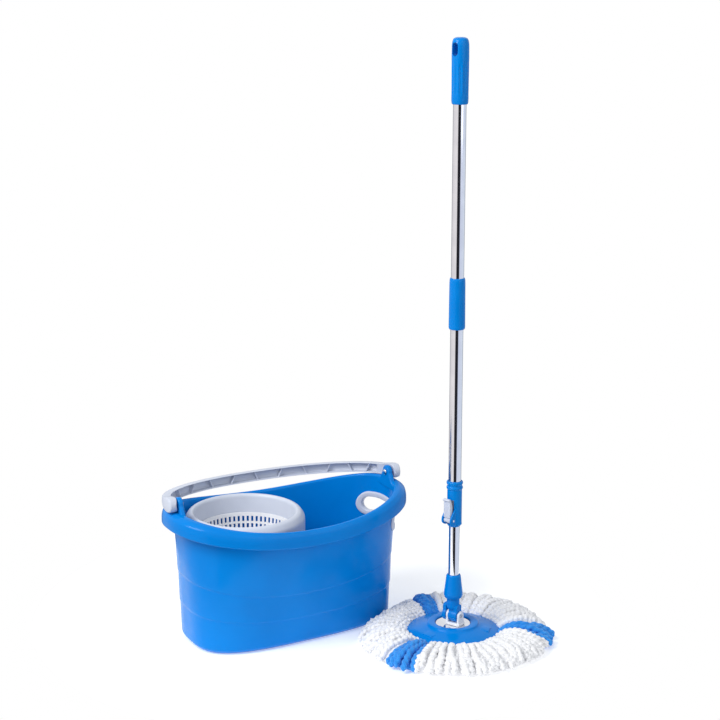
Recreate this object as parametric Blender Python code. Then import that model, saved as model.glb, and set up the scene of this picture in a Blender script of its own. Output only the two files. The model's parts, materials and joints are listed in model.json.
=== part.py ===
"""Spin mop set: an oval bucket with a spinning wringer basket and a folding carrying handle,
and beside it a telescopic mop that stands on its round head.

Metres, +Z up.  The origin is the middle of the bucket's underside, +X is the long axis of the
bucket towards its hand hole, and +Y points to the side where the carrying handle lies folded.
"""
import math

import bmesh
import bpy
from mathutils import Matrix, Vector

# ---------------------------------------------------------------- driving dimensions
GAP = 0.0003                # air left between two pieces that touch
RUN = 0.0004                # radial play of a turning or sliding fit
ROUND, ROUND_WIDE, ROUND_SMALL = 20, 36, 14     # sides of tubes, of the wide rings, of pins

# bucket: plan sizes are half lengths of a rounded oval, |x/a|^n + |y/b|^n = 1
BASE_A, BASE_B, BASE_N = 0.1900, 0.0910, 3.1
RIM_A, RIM_B, RIM_N = 0.2042, 0.1190, 2.35
BASE_TAPER, RIM_TAPER = 0.125, 0.03      # how much narrower the hand-hole end is
BUCKET_HEIGHT = 0.2190      # rim at the middle of the long sides
RIM_RISE = 0.0270           # the rim climbs this much to its two ends
WALL = 0.0028
FLOOR_THICKNESS = 0.0030
FOOT_RADIUS = 0.0080
STEP_HEIGHTS = (0.052, 0.098)   # two shallow steps in the outside of the wall
STEP_RISE = (0.015, 0.027)
STEP_DEPTH = 0.0008
LIP_OUT_A, LIP_OUT_B = 0.0215, 0.0095    # overhang of the rim at the ends and at the sides
LIP_DROP = 0.0280
BUCKET_SIDES = 56

RIM_END_Z = BUCKET_HEIGHT + RIM_RISE
LUG_INNER_X, LUG_THICKNESS = RIM_A - 0.0057, 0.0085
LUG_RADIUS, LUG_FLARE = 0.0120, 0.0300
BAIL_PIVOT_Z = RIM_END_Z + 0.0130
BAIL_PIN_R = 0.0030
BAIL_ARM_GAP = 0.0015
BAIL_THICKNESS, BAIL_HEIGHT, BAIL_BOSS_R = 0.0165, 0.0185, 0.0130
BAIL_REACH = 0.1370
BAIL_OVAL_N = 2.2
BAIL_DROOP = math.radians(7.0)
BAIL_WEB = 0.0022
BAIL_STEPS, BAIL_RIB_EVERY = 32, 4
BAIL_END_SHARES = (0.97, 0.85, 0.62, 0.32)     # where the round end is cut, in boss radii

HOLE_HALF_WIDTH, HOLE_HALF_HEIGHT = 0.0635, 0.0165
HOLE_HEIGHT = BUCKET_HEIGHT - 0.0560    # level of the wall, before the rise of the ends
GROMMET_LAND, GROMMET_LIP, GROMMET_SIDE = 0.0035, 0.0075, 0.0026

# basket
BASKET_X = -0.0800
COLLAR_R, COLLAR_WALL = 0.1055, 0.0020
COLLAR_TOP, COLLAR_BOTTOM = BUCKET_HEIGHT + 0.0110, BUCKET_HEIGHT - 0.0290
COLLAR_THROAT_R, COLLAR_THROAT_Z = COLLAR_R - 0.0210, COLLAR_TOP - 0.0335
BOWL_DEPTH, BOWL_WALL = 0.0760, 0.0020
BOWL_FLOOR_Z, BOWL_FLOOR_R = COLLAR_THROAT_Z - BOWL_DEPTH, COLLAR_THROAT_R - 0.0160
SLOTS = 24
SPINDLE_R, SPINDLE_TOP = 0.0042, BOWL_FLOOR_Z + 0.0110
BUSH_WALL, BUSH_LENGTH = 0.0044, 0.0245
HUB_BORE_R = SPINDLE_R + RUN + BUSH_WALL + GAP
HUB_R, HUB_TOP, HUB_BOTTOM = HUB_BORE_R + 0.0067, BOWL_FLOOR_Z + 0.0215, BOWL_FLOOR_Z - 0.0165
POST_TOP_R, POST_FOOT_R, POST_TOP = SPINDLE_R + 0.0068, 0.0300, HUB_BOTTOM - 0.0020

# mop: heights above the floor
MOP_X, MOP_Y = 0.2320, -0.1920
TILT_YAW = math.radians(27.0)       # turn of the tilt joint
HANDLE_YAW = math.radians(17.0)     # turn of the grip and of the latch
PLATE_R, PLATE_EDGE_Z, PLATE_DOME = 0.0845, 0.0128, 0.0150
PLATE_FLOOR_Z = PLATE_EDGE_Z + PLATE_DOME   # floor of the well that holds the dish
PLATE_WALL = 0.0028
DISH_R, DISH_THICKNESS = 0.0303, 0.0008
SPIGOT_R, SCREW_R = 0.0056, 0.0025
TILT_PIN_R, TILT_PIN_BORE = 0.0036, 0.0020
KNUCKLE_R, NECK_R = 0.0115, 0.01125
FOOT_BLOCK = 0.0048                         # height of the foot under the tilt joint
TILT_Z = PLATE_FLOOR_Z + DISH_THICKNESS + 2.0 * GAP + FOOT_BLOCK + KNUCKLE_R + 0.0005
FORK_BACK, FORK_FRONT = 0.0165, -0.0125
EAR_SLOT = (0.0042, 0.0093)
EAR_FRONT_THICKNESS, EAR_PLAY, EAR_HEIGHT = 0.0042, 0.0004, 0.0095
NECK_TOP = TILT_Z + 0.0365
INNER_TUBE_R, TUBE_WALL, INNER_TUBE_TOP = 0.0097, 0.0007, 0.4620
OUTER_TUBE_R = INNER_TUBE_R + RUN + TUBE_WALL + 0.0002
LOWER_SLEEVE_TOP, LOWER_SLEEVE_R = NECK_TOP + 0.0390, NECK_R + 0.0055
LATCH_BOTTOM, LATCH_TOP, LATCH_R = 0.2110, 0.2925, OUTER_TUBE_R + 0.0018
LATCH_BEAD = 0.0014
LATCH_SEAT_Z = LATCH_TOP - 0.0285           # where the outer tube stops in the latch housing
LATCH_PIN_R = 0.0012
LATCH_PIN_X, LATCH_PIN_Z = -(INNER_TUBE_R + 0.0041), LATCH_BOTTOM + 0.0135
CHEEK_THICKNESS, CHEEK_NOSE_X = 0.0033, LATCH_PIN_X - 0.0076
LEVER_HALF_WIDTH, LEVER_FACE, LEVER_LENGTH = 0.0075, 0.0057, 0.0397
TUBE_JOIN_Z, UPPER_TUBE_TOP = 0.6000, 1.0000
MID_SLEEVE = (TUBE_JOIN_Z - 0.0390, TUBE_JOIN_Z + 0.0490)
MID_SLEEVE_R = OUTER_TUBE_R + 0.0030
GRIP_BOTTOM, GRIP_TOP = UPPER_TUBE_TOP - 0.0610, UPPER_TUBE_TOP + 0.0470
GRIP_R, GRIP_FLUTES = OUTER_TUBE_R + 0.0038, 12
HANG_SLOT = (GRIP_TOP - 0.0300, GRIP_TOP - 0.0075)
HANG_SLOT_HALF_WIDTH = 0.0060
ROD_BOTTOM, ROD_PITCH, ROD_HALF_WIDTH, ROD_HALF_THICKNESS = 0.2150, 0.1000, 0.0030, 0.0010
ROD_PLAY = 0.0008
NUT = (INNER_TUBE_TOP - 0.0420, INNER_TUBE_TOP - 0.0220)
ANCHOR_BOTTOM = TUBE_JOIN_Z - 0.0440

# strands: a pile round the plate, cut short on the side where it lies against the bucket
STRAND_LENGTH, STRAND_HEIGHT = 0.0960, 0.0360
STRAND_INNER_R = PLATE_R - 0.0045
STRAND_REACH = STRAND_INNER_R + STRAND_LENGTH
STRAND_CLEAR = 0.0050
BUNCHES = 3
BUNCH_HALF_ANGLE = math.radians(10.5)
BUNCH_START = math.radians(60.0)


# ---------------------------------------------------------------- scene and materials
def clear_scene():
    for obj in list(bpy.data.objects):
        bpy.data.objects.remove(obj, do_unlink=True)


def material(name, color, roughness, metallic=0.0):
    mat = bpy.data.materials.new(name)
    mat.use_nodes = True
    shader = mat.node_tree.nodes["Principled BSDF"]
    shader.inputs["Base Color"].default_value = (*color, 1.0)
    shader.inputs["Roughness"].default_value = roughness
    shader.inputs["Metallic"].default_value = metallic
    mat.diffuse_color = (*color, 1.0)
    return mat


def empty(name, location, yaw=0.0, parent=None):
    obj = bpy.data.objects.new(name, None)
    obj.location = location
    obj.rotation_euler = (0.0, 0.0, yaw)
    obj.parent = parent
    bpy.context.collection.objects.link(obj)
    return obj


# ---------------------------------------------------------------- mesh helpers
def add_object(name, bm, mat, parent=None, offset=(0.0, 0.0, 0.0), smooth_angle=32.0):
    """Turn a bmesh into a named object whose shape is shifted by offset under its parent."""
    bmesh.ops.recalc_face_normals(bm, faces=bm.faces)
    mesh = bpy.data.meshes.new(name)
    bm.to_mesh(mesh)
    bm.free()
    mesh.transform(Matrix.Translation(offset))
    mesh.shade_smooth()
    mesh.set_sharp_from_angle(angle=math.radians(smooth_angle))
    mesh.materials.append(mat)
    obj = bpy.data.objects.new(name, mesh)
    obj.parent = parent
    bpy.context.collection.objects.link(obj)
    return obj


def helper(obj):
    """Mark an object as a cutter or a joined shape, which is no piece of its own."""
    obj.hide_render = True
    obj.display_type = "WIRE"
    return obj


def boolean(obj, other, operation):
    modifier = obj.modifiers.new(other.name, "BOOLEAN")
    modifier.operation = operation
    modifier.solver = "EXACT"
    modifier.object = helper(other)


def loft(rings, closed=False):
    """Join rings of equal point counts.  Open lofts get a flat cap at each end."""
    bm = bmesh.new()
    rows = [[bm.verts.new(point) for point in ring] for ring in rings]
    count = len(rows[0])
    pairs = list(zip(rows, rows[1:]))
    if closed:
        pairs.append((rows[-1], rows[0]))
    for low, high in pairs:
        for i in range(count):
            j = (i + 1) % count
            bm.faces.new((low[i], low[j], high[j], high[i]))
    if not closed:
        bm.faces.new(list(reversed(rows[0])))
        bm.faces.new(rows[-1])
    return bm


def turned(profile, sides=ROUND):
    """Turn a closed outline of (radius, height) points about Z.  Radius 0 makes a pole."""
    bm = bmesh.new()
    rows = []
    for radius, height in profile:
        if radius == 0.0:
            rows.append([bm.verts.new((0.0, 0.0, height))])
            continue
        angles = [2.0 * math.pi * i / sides for i in range(sides)]
        rows.append([bm.verts.new((radius * math.cos(a), radius * math.sin(a), height))
                     for a in angles])
    for low, high in zip(rows, rows[1:] + rows[:1]):
        if len(low) == 1 and len(high) == 1:
            continue
        for i in range(sides):
            j = (i + 1) % sides
            corners = [low[0]] if len(low) == 1 else [low[i], low[j]]
            corners += [high[0]] if len(high) == 1 else [high[j], high[i]]
            bm.faces.new(corners)
    return bm


def tube(outer, inner, bottom, top, sides=ROUND):
    return turned([(inner, bottom), (outer, bottom), (outer, top), (inner, top)], sides)


def rod(radius, bottom, top, sides=ROUND):
    return turned([(0.0, bottom), (radius, bottom), (radius, top), (0.0, top)], sides)


def prism(outline, low, high, axis):
    """Extrude an outline of (u, v) points.  Along X, u and v are Y and Z; along Y, X and Z;
    along Z, X and Y."""
    def point(u, v, w):
        return {"X": (w, u, v), "Y": (u, w, v), "Z": (u, v, w)}[axis]
    return loft([[point(u, v, w) for u, v in outline] for w in (low, high)])


def box(low, high):
    outline = [(low[0], low[1]), (high[0], low[1]), (high[0], high[1]), (low[0], high[1])]
    return prism(outline, low[2], high[2], "Z")


def arc(center_u, center_v, radius, start_deg, end_deg, steps):
    points = []
    for i in range(steps + 1):
        angle = math.radians(start_deg + (end_deg - start_deg) * i / steps)
        points.append((center_u + radius * math.cos(angle), center_v + radius * math.sin(angle)))
    return points


def moved(bm, offset=(0.0, 0.0, 0.0), axis=None, angle=0.0, center=(0.0, 0.0, 0.0)):
    if axis:
        bmesh.ops.rotate(bm, verts=bm.verts, cent=center, matrix=Matrix.Rotation(angle, 3, axis))
    bmesh.ops.translate(bm, verts=bm.verts, vec=offset)
    return bm


def blend(value, stops):
    """Straight-line interpolation through (position, value) stops."""
    if value <= stops[0][0]:
        return stops[0][1]
    for (p0, v0), (p1, v1) in zip(stops, stops[1:]):
        if value <= p1:
            return v0 + (v1 - v0) * (value - p0) / (p1 - p0)
    return stops[-1][1]


# ---------------------------------------------------------------- bucket
def plan_point(t, a, b, n, taper):
    """Point of the rounded oval at parameter t, narrowed towards +X by the taper."""
    c, s = math.cos(t), math.sin(t)
    m = (abs(c) ** n + abs(s) ** n) ** (1.0 / n)
    x = a * c / m
    return x, b * s / m * (1.0 - taper * x / a)


def level_rise(height):
    """How far a level line of the wall climbs from the middle to the ends."""
    stops = [(0.010, 0.0), *zip(STEP_HEIGHTS, STEP_RISE), (BUCKET_HEIGHT, RIM_RISE)]
    return blend(height, stops)


def wall_point(t, height, inset=0.0, grow_a=0.0, grow_b=0.0, drop=0.0):
    """Point of the wall at a level, moved in by inset or out by the two growths."""
    share = height / BUCKET_HEIGHT
    a = BASE_A + (RIM_A - BASE_A) * share - inset + grow_a
    b = BASE_B + (RIM_B - BASE_B) * share - inset + grow_b
    n = BASE_N + (RIM_N - BASE_N) * share
    taper = BASE_TAPER + (RIM_TAPER - BASE_TAPER) * share
    x, y = plan_point(t, a, b, n, taper)
    return x, y, height + level_rise(height) * (x / a) ** 2 - drop


def wall_ring(height, **offsets):
    return [wall_point(2.0 * math.pi * i / BUCKET_SIDES, height, **offsets)
            for i in range(BUCKET_SIDES)]


def bucket_rings():
    """Rings from the underside, up the outside, over the lip and down the inside."""
    low_step, high_step = STEP_HEIGHTS
    ledge = 0.0010
    rings = [wall_ring(0.0, inset=FOOT_RADIUS),
             wall_ring(FOOT_RADIUS * 0.29, inset=FOOT_RADIUS * 0.29),
             wall_ring(FOOT_RADIUS),
             wall_ring(low_step, inset=STEP_DEPTH * 0.5),
             wall_ring(low_step + ledge, inset=-STEP_DEPTH * 0.5),
             wall_ring(high_step, inset=STEP_DEPTH * 0.5),
             wall_ring(high_step + ledge, inset=-STEP_DEPTH * 0.5),
             wall_ring(0.175)]
    lip = [(0.0, 0.0, 0.0085), (0.84, 0.60, 0.0165), (0.89, 0.74, LIP_DROP),
           (1.0, 1.0, LIP_DROP), (1.0, 1.0, 0.0175), (0.94, 0.86, 0.0105),
           (0.74, 0.66, 0.0055), (0.38, 0.30, 0.0016), (0.05, 0.0, 0.0)]
    for share_a, share_b, drop in lip:
        rings.append(wall_ring(BUCKET_HEIGHT, grow_a=share_a * LIP_OUT_A,
                               grow_b=share_b * LIP_OUT_B, drop=drop))
    rings.append(wall_ring(BUCKET_HEIGHT, inset=WALL * 0.7, drop=0.0006))
    rings.append(wall_ring(BUCKET_HEIGHT, inset=WALL, drop=0.0040))
    for height in (0.175, high_step, low_step):
        rings.append(wall_ring(height, inset=WALL))
    rings.append(wall_ring(FOOT_RADIUS, inset=WALL))
    rings.append(wall_ring(FLOOR_THICKNESS + 0.0012, inset=WALL + 0.0018))
    rings.append(wall_ring(FLOOR_THICKNESS, inset=WALL + 0.0060))
    return rings


def lug_outline():
    """Round-topped tab with flared feet, as (y, z)."""
    foot_z = BUCKET_HEIGHT + RIM_RISE - 0.0100
    top = arc(0.0, BAIL_PIVOT_Z, LUG_RADIUS, 0.0, 180.0, 10)
    right = [(LUG_FLARE, foot_z), (LUG_FLARE, foot_z + 0.0020),
             (LUG_RADIUS + 0.0085, foot_z + 0.0065), (LUG_RADIUS + 0.0025, foot_z + 0.0120)]
    left = [(-u, v) for u, v in reversed(right)]
    return right + top + left


def lug(side):
    low, high = sorted((side * LUG_INNER_X, side * (LUG_INNER_X + LUG_THICKNESS)))
    return prism(lug_outline(), low, high, "X")


def hole_path(grow=0.0, steps=8):
    """Long hole with round ends, as (along the wall, up the wall)."""
    radius = HOLE_HALF_HEIGHT
    center = HOLE_HALF_WIDTH - radius
    middle = [center * share for share in (0.67, 0.33, 0.0, -0.33, -0.67)]
    return (arc(center, 0.0, radius + grow, -90.0, 90.0, steps)
            + [(u, radius + grow) for u in middle]
            + arc(-center, 0.0, radius + grow, 90.0, 270.0, steps)
            + [(-u, -radius - grow) for u in middle])


def end_wall_point(along, up, out):
    """Point near the +X end wall: out is measured from the middle of the wall."""
    reach_b = BASE_B + (RIM_B - BASE_B) * HOLE_HEIGHT / BUCKET_HEIGHT
    return wall_point(along / reach_b, HOLE_HEIGHT + up, inset=WALL / 2.0 - out)


def hand_hole_cutter():
    """The hole as a bent bar: four-cornered sections follow the wall from end to end."""
    radius = HOLE_HALF_HEIGHT
    center = HOLE_HALF_WIDTH - radius
    end = [(center + radius * math.sin(a), radius * math.cos(a))
           for a in (math.radians(d) for d in (86.0, 67.5, 45.0, 22.5, 0.0))]
    stations = end + [(center * share, radius) for share in (0.67, 0.33, 0.0, -0.33, -0.67)]
    stations += [(-u, half) for u, half in reversed(end)]
    depth = 0.008
    return loft([[end_wall_point(u, -half, -depth), end_wall_point(u, half, -depth),
                  end_wall_point(u, half, depth), end_wall_point(u, -half, depth)]
                 for u, half in stations])


def bail_pin(side):
    low = LUG_INNER_X - 0.0010
    high = LUG_INNER_X + LUG_THICKNESS + BAIL_ARM_GAP + BAIL_THICKNESS - BAIL_WEB - GAP
    shaft = [(0.0, low - 0.0016), (0.0052, low - 0.0016), (0.0052, low + 0.0010 - GAP),
             (BAIL_PIN_R, low + 0.0010 - GAP), (BAIL_PIN_R, high), (0.0, high)]
    return moved(turned(shaft, ROUND_SMALL), axis="Y", angle=side * math.pi / 2.0,
                 offset=(0.0, 0.0, BAIL_PIVOT_Z))


def make_bucket(blue, grey, steel):
    shell = add_object("bucket_shell", loft(bucket_rings()), blue)
    for side, name in ((-1.0, "lug_left"), (1.0, "lug_right")):
        boolean(shell, add_object(name, lug(side), blue), "UNION")
    boolean(shell, add_object("hand_hole", hand_hole_cutter(), blue), "DIFFERENCE")
    bores = rod(BAIL_PIN_R + RUN, -0.23, 0.23, ROUND_SMALL)
    moved(bores, axis="Y", angle=math.pi / 2.0, offset=(0.0, 0.0, BAIL_PIVOT_Z))
    boolean(shell, add_object("lug_bores", bores, blue), "DIFFERENCE")

    add_object("bail_pin_left", bail_pin(-1.0), steel)
    add_object("bail_pin_right", bail_pin(1.0), steel)

    near, far = WALL / 2.0 + 2.0 * GAP, WALL / 2.0 + 2.0 * GAP + GROMMET_SIDE
    side = [(-GROMMET_LAND, far * 0.62), (-GROMMET_LAND * 0.5, far), (GROMMET_LIP * 0.75, far),
            (GROMMET_LIP, far - 0.0012), (GROMMET_LIP, near), (-GAP, near)]
    section = side + [(grow, -out) for grow, out in reversed(side)]
    rings = [[end_wall_point(u, v, out) for u, v in hole_path(grow)] for grow, out in section]
    add_object("hand_hole_grommet", loft(rings, closed=True), grey)

    foot = FLOOR_THICKNESS + GAP
    bore = SPINDLE_R + GAP
    post = [(bore, POST_TOP - 0.030), (bore, POST_TOP), (POST_TOP_R, POST_TOP),
            (POST_TOP_R + 0.0025, foot + 0.020), (POST_FOOT_R, foot + 0.0035),
            (POST_FOOT_R, foot), (0.0, foot), (0.0, POST_TOP - 0.030)]
    add_object("spindle_post", moved(turned(post), offset=(BASKET_X, 0.0, 0.0)), blue)
    spindle = [(0.0, POST_TOP - 0.030 + GAP), (SPINDLE_R, POST_TOP - 0.030 + GAP),
               (SPINDLE_R, SPINDLE_TOP - 0.002), (SPINDLE_R * 0.5, SPINDLE_TOP),
               (0.0, SPINDLE_TOP)]
    add_object("spindle_pin", moved(turned(spindle), offset=(BASKET_X, 0.0, 0.0)), steel)


def bail_stations():
    """Centre-line points of the carrying handle laid flat, with the half height of each."""
    arm_x = LUG_INNER_X + LUG_THICKNESS + BAIL_ARM_GAP + BAIL_THICKNESS / 2.0
    end = []
    for share in BAIL_END_SHARES:
        half = BAIL_BOSS_R * math.sqrt(1.0 - share * share)
        end.append(((arm_x, -share * BAIL_BOSS_R), half))
    arch = []
    for i in range(BAIL_STEPS + 1):
        t = math.pi * i / BAIL_STEPS
        x, y = plan_point(t, arm_x, BAIL_REACH, BAIL_OVAL_N, 0.0)
        along = min(i, BAIL_STEPS - i) / BAIL_STEPS
        half = blend(along, [(0.0, BAIL_BOSS_R), (0.02, BAIL_BOSS_R), (0.08, BAIL_HEIGHT / 2.0)])
        arch.append(((x, y), half))
    other_end = [((-x, y), half) for (x, y), half in reversed(end)]
    return end + arch + other_end


def bail_section(center, tangent, half_height, channel):
    """Channel section, open to the inside of the bow: eight points, centred on the line."""
    out = Vector((tangent[1], -tangent[0])).normalized()
    half = BAIL_THICKNESS / 2.0
    inner = half_height * (1.0 - 2.0 * BAIL_WEB / BAIL_HEIGHT)
    bed = channel - half
    shape = [(half, -half_height), (half, half_height), (-half, half_height), (-half, inner),
             (bed, inner * 0.94), (bed, -inner * 0.94), (-half, -inner), (-half, -half_height)]
    return [(center[0] + out.x * u, center[1] + out.y * u, v) for u, v in shape]


def bail_mesh():
    stations = bail_stations()
    points = [Vector(center) for center, _ in stations]
    rings = []
    for i, (center, half) in enumerate(stations):
        before, after = points[max(i - 1, 0)], points[min(i + 1, len(points) - 1)]
        tangent = after - before
        on_arch = i - len(BAIL_END_SHARES)
        is_end = min(on_arch, BAIL_STEPS - on_arch) < 3
        is_rib = on_arch % BAIL_RIB_EVERY == 0
        deep = BAIL_THICKNESS - BAIL_WEB
        channel = 0.0005 if is_end or is_rib else deep
        if not is_rib or is_end:
            rings.append(bail_section(center, tangent, half, channel))
            continue
        step = tangent.normalized() * (BAIL_WEB / 2.0)
        edge = tangent.normalized() * 0.0004
        for shift, depth in ((-step - edge, deep), (-step, channel), (step, channel),
                             (step + edge, deep)):
            rings.append(bail_section(Vector(center) + shift, tangent, half, depth))
    return loft(rings)


def make_bail(grey):
    axis = empty("bail_axis", (0.0, 0.0, BAIL_PIVOT_Z))
    bail = add_object("bail_handle", bail_mesh(), grey, parent=axis)
    length = BAIL_ARM_GAP + BAIL_THICKNESS - BAIL_WEB
    for side, name in ((-1.0, "bail_bore_left"), (1.0, "bail_bore_right")):
        start = LUG_INNER_X + LUG_THICKNESS
        bore = rod(BAIL_PIN_R + RUN, start, start + length, ROUND_SMALL)
        moved(bore, axis="Y", angle=side * math.pi / 2.0)
        boolean(bail, add_object(name, bore, grey, parent=axis), "DIFFERENCE")
    axis.rotation_euler = (-BAIL_DROOP, 0.0, 0.0)


# ---------------------------------------------------------------- basket
def bowl_radius(height):
    """Inside radius of the bowl's wall."""
    return blend(height, [(BOWL_FLOOR_Z, BOWL_FLOOR_R + 0.0075),
                          (COLLAR_THROAT_Z, COLLAR_THROAT_R - 0.0010)])


def slotted_bowl():
    """Bowl with slots in its wall and in its floor, laid out as a grid of open and full cells."""
    low, high = BOWL_FLOOR_Z, COLLAR_THROAT_Z
    drop = BOWL_WALL
    flange_r = COLLAR_R - COLLAR_WALL - 0.0010
    inside = [(flange_r, high - GAP), (bowl_radius(high), high - GAP)]
    outside = [(flange_r, high - GAP - drop), (bowl_radius(high) + drop, high - 2.0 * drop)]
    wall = high - low
    for height in (high - 0.0065, high - 0.0165, high - 0.0300, low + 0.26 * wall, low + 0.0080):
        inside.append((bowl_radius(height), height))
        outside.append((bowl_radius(height) + drop, height))
    inside += [(BOWL_FLOOR_R + 0.0045, low + 0.0022), (BOWL_FLOOR_R, low)]
    outside += [(BOWL_FLOOR_R + 0.0060, low + 0.0005), (BOWL_FLOOR_R + 0.0008, low - drop)]
    for radius in (0.82 * BOWL_FLOOR_R, 0.52 * BOWL_FLOOR_R, HUB_R):
        inside.append((radius, low))
        outside.append((radius, low - drop))
    open_rows = (2, 4, 8)
    sides = 2 * SLOTS
    bm = bmesh.new()

    def row(points):
        return [[bm.verts.new((r * math.cos(2 * math.pi * i / sides),
                               r * math.sin(2 * math.pi * i / sides), z)) for i in range(sides)]
                for r, z in points]

    top, under = row(inside), row(outside)
    cells = len(inside) - 1

    def is_open(k, i):
        return k in open_rows and i % 2 == 1

    for k in range(cells):
        for i in range(sides):
            j = (i + 1) % sides
            if is_open(k, i):
                continue
            bm.faces.new((top[k][i], top[k][j], top[k + 1][j], top[k + 1][i]))
            bm.faces.new((under[k + 1][i], under[k + 1][j], under[k][j], under[k][i]))
            for step, a in ((-1, i), (1, j)):
                if is_open(k, (i + step) % sides):
                    bm.faces.new((top[k][a], top[k + 1][a], under[k + 1][a], under[k][a]))
            for step, b in ((-1, k), (1, k + 1)):
                if not 0 <= k + step < cells or is_open(k + step, i):
                    bm.faces.new((top[b][i], top[b][j], under[b][j], under[b][i]))
    return bm


def make_basket(grey, white):
    axis = empty("basket_axis", (BASKET_X, 0.0, 0.0))
    wall = COLLAR_WALL
    crest_r = COLLAR_THROAT_R + 0.0062
    collar = [(COLLAR_THROAT_R, COLLAR_THROAT_Z), (crest_r - 0.0030, COLLAR_TOP - 0.0035),
              (crest_r - 0.0008, COLLAR_TOP - 0.0006), (crest_r + 0.0020, COLLAR_TOP),
              (COLLAR_R - 0.0070, COLLAR_TOP - 0.0030), (COLLAR_R - 0.0022, COLLAR_TOP - 0.0095),
              (COLLAR_R, COLLAR_TOP - 0.0190), (COLLAR_R, COLLAR_BOTTOM),
              (COLLAR_R - wall, COLLAR_BOTTOM), (COLLAR_R - wall, COLLAR_TOP - 0.0190),
              (COLLAR_R - wall - 0.0022, COLLAR_TOP - 0.0105),
              (COLLAR_R - wall - 0.0065, COLLAR_TOP - 0.0052),
              (crest_r + 0.0010, COLLAR_TOP - 0.0035), (COLLAR_THROAT_R + wall, COLLAR_THROAT_Z)]
    add_object("splash_collar", turned(collar, ROUND_WIDE), grey, parent=axis)
    add_object("basket_bowl", slotted_bowl(), white, parent=axis, smooth_angle=25.0)
    under = BOWL_FLOOR_Z - BOWL_WALL
    hub = [(HUB_BORE_R, HUB_BOTTOM), (HUB_R - 0.0010, HUB_BOTTOM), (HUB_R - GAP, under),
           (HUB_R - GAP, BOWL_FLOOR_Z + GAP), (HUB_R + 0.0100, BOWL_FLOOR_Z + GAP),
           (HUB_R + 0.0095, BOWL_FLOOR_Z + 0.0028), (HUB_R - 0.0020, BOWL_FLOOR_Z + 0.0085),
           (HUB_R - 0.0050, HUB_TOP - 0.0020), (HUB_R - 0.0075, HUB_TOP), (0.0, HUB_TOP),
           (0.0, SPINDLE_TOP + GAP),
           (HUB_BORE_R, SPINDLE_TOP + GAP)]
    add_object("basket_hub", turned(hub), white, parent=axis)
    bush = tube(HUB_BORE_R - GAP, SPINDLE_R + RUN, HUB_BOTTOM + 0.0005,
                HUB_BOTTOM + 0.0005 + BUSH_LENGTH)
    add_object("hub_bush", bush, grey, parent=axis)


# ---------------------------------------------------------------- mop head
def make_head(frame, blue, steel, white, yarn, blue_yarn):
    edge = PLATE_EDGE_Z
    floor_z, under = PLATE_FLOOR_Z, PLATE_FLOOR_Z - PLATE_WALL
    collar_r = DISH_R + 0.0145          # the raised collar round the dish
    slope_r = 0.5 * (PLATE_R + collar_r)
    plate = [(PLATE_R, edge), (PLATE_R, edge + 0.0027), (PLATE_R - 0.0010, edge + 0.0044),
             (PLATE_R - 0.0045, edge + 0.0060), (slope_r, edge + 0.0115),
             (collar_r + 0.0052, floor_z + 0.0008), (collar_r + 0.0020, floor_z + 0.0022),
             (collar_r + 0.0004, floor_z + 0.0046), (collar_r - 0.0023, floor_z + 0.0056),
             (DISH_R + 0.0047, floor_z + 0.0058), (DISH_R + 0.0019, floor_z + 0.0048),
             (DISH_R + 0.0008, floor_z + 0.0022), (DISH_R + 0.0006, floor_z),
             (SCREW_R + 0.0004, floor_z), (SCREW_R + 0.0004, under), (DISH_R + 0.0032, under),
             (collar_r + 0.0012, under + 0.0014), (slope_r, edge + 0.0090),
             (PLATE_R - 0.0060, edge + 0.0036), (PLATE_R - 0.0035, edge)]
    add_object("mop_plate", turned(plate, ROUND_WIDE), blue, parent=frame)
    dish_z = floor_z + GAP
    thick = DISH_THICKNESS
    dish = [(SPIGOT_R + 0.0006, dish_z), (0.80 * DISH_R, dish_z), (DISH_R, dish_z + 0.0018),
            (DISH_R, dish_z + 0.0018 + thick), (0.80 * DISH_R - 0.0002, dish_z + thick),
            (SPIGOT_R + 0.0006, dish_z + thick)]
    add_object("dish_trim", turned(dish, ROUND_WIDE), steel, parent=frame)
    make_foot(frame, white, dish_z)
    head = under - GAP
    screw = [(0.0, head - 0.0030), (SCREW_R + 0.0017, head - 0.0030),
             (SCREW_R + 0.0023, head - 0.0022), (SCREW_R + 0.0023, head), (SCREW_R, head),
             (SCREW_R, head + PLATE_WALL + 0.0047), (0.0, head + PLATE_WALL + 0.0047)]
    add_object("foot_screw", turned(screw, ROUND_SMALL), steel, parent=frame)
    ring = tube(STRAND_INNER_R - 0.0006, 0.45 * STRAND_INNER_R, edge - 0.0060, edge - 0.0008,
                ROUND_WIDE)
    add_object("refill_ring", ring, white, parent=frame)
    strands(frame, yarn, blue_yarn)


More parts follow.
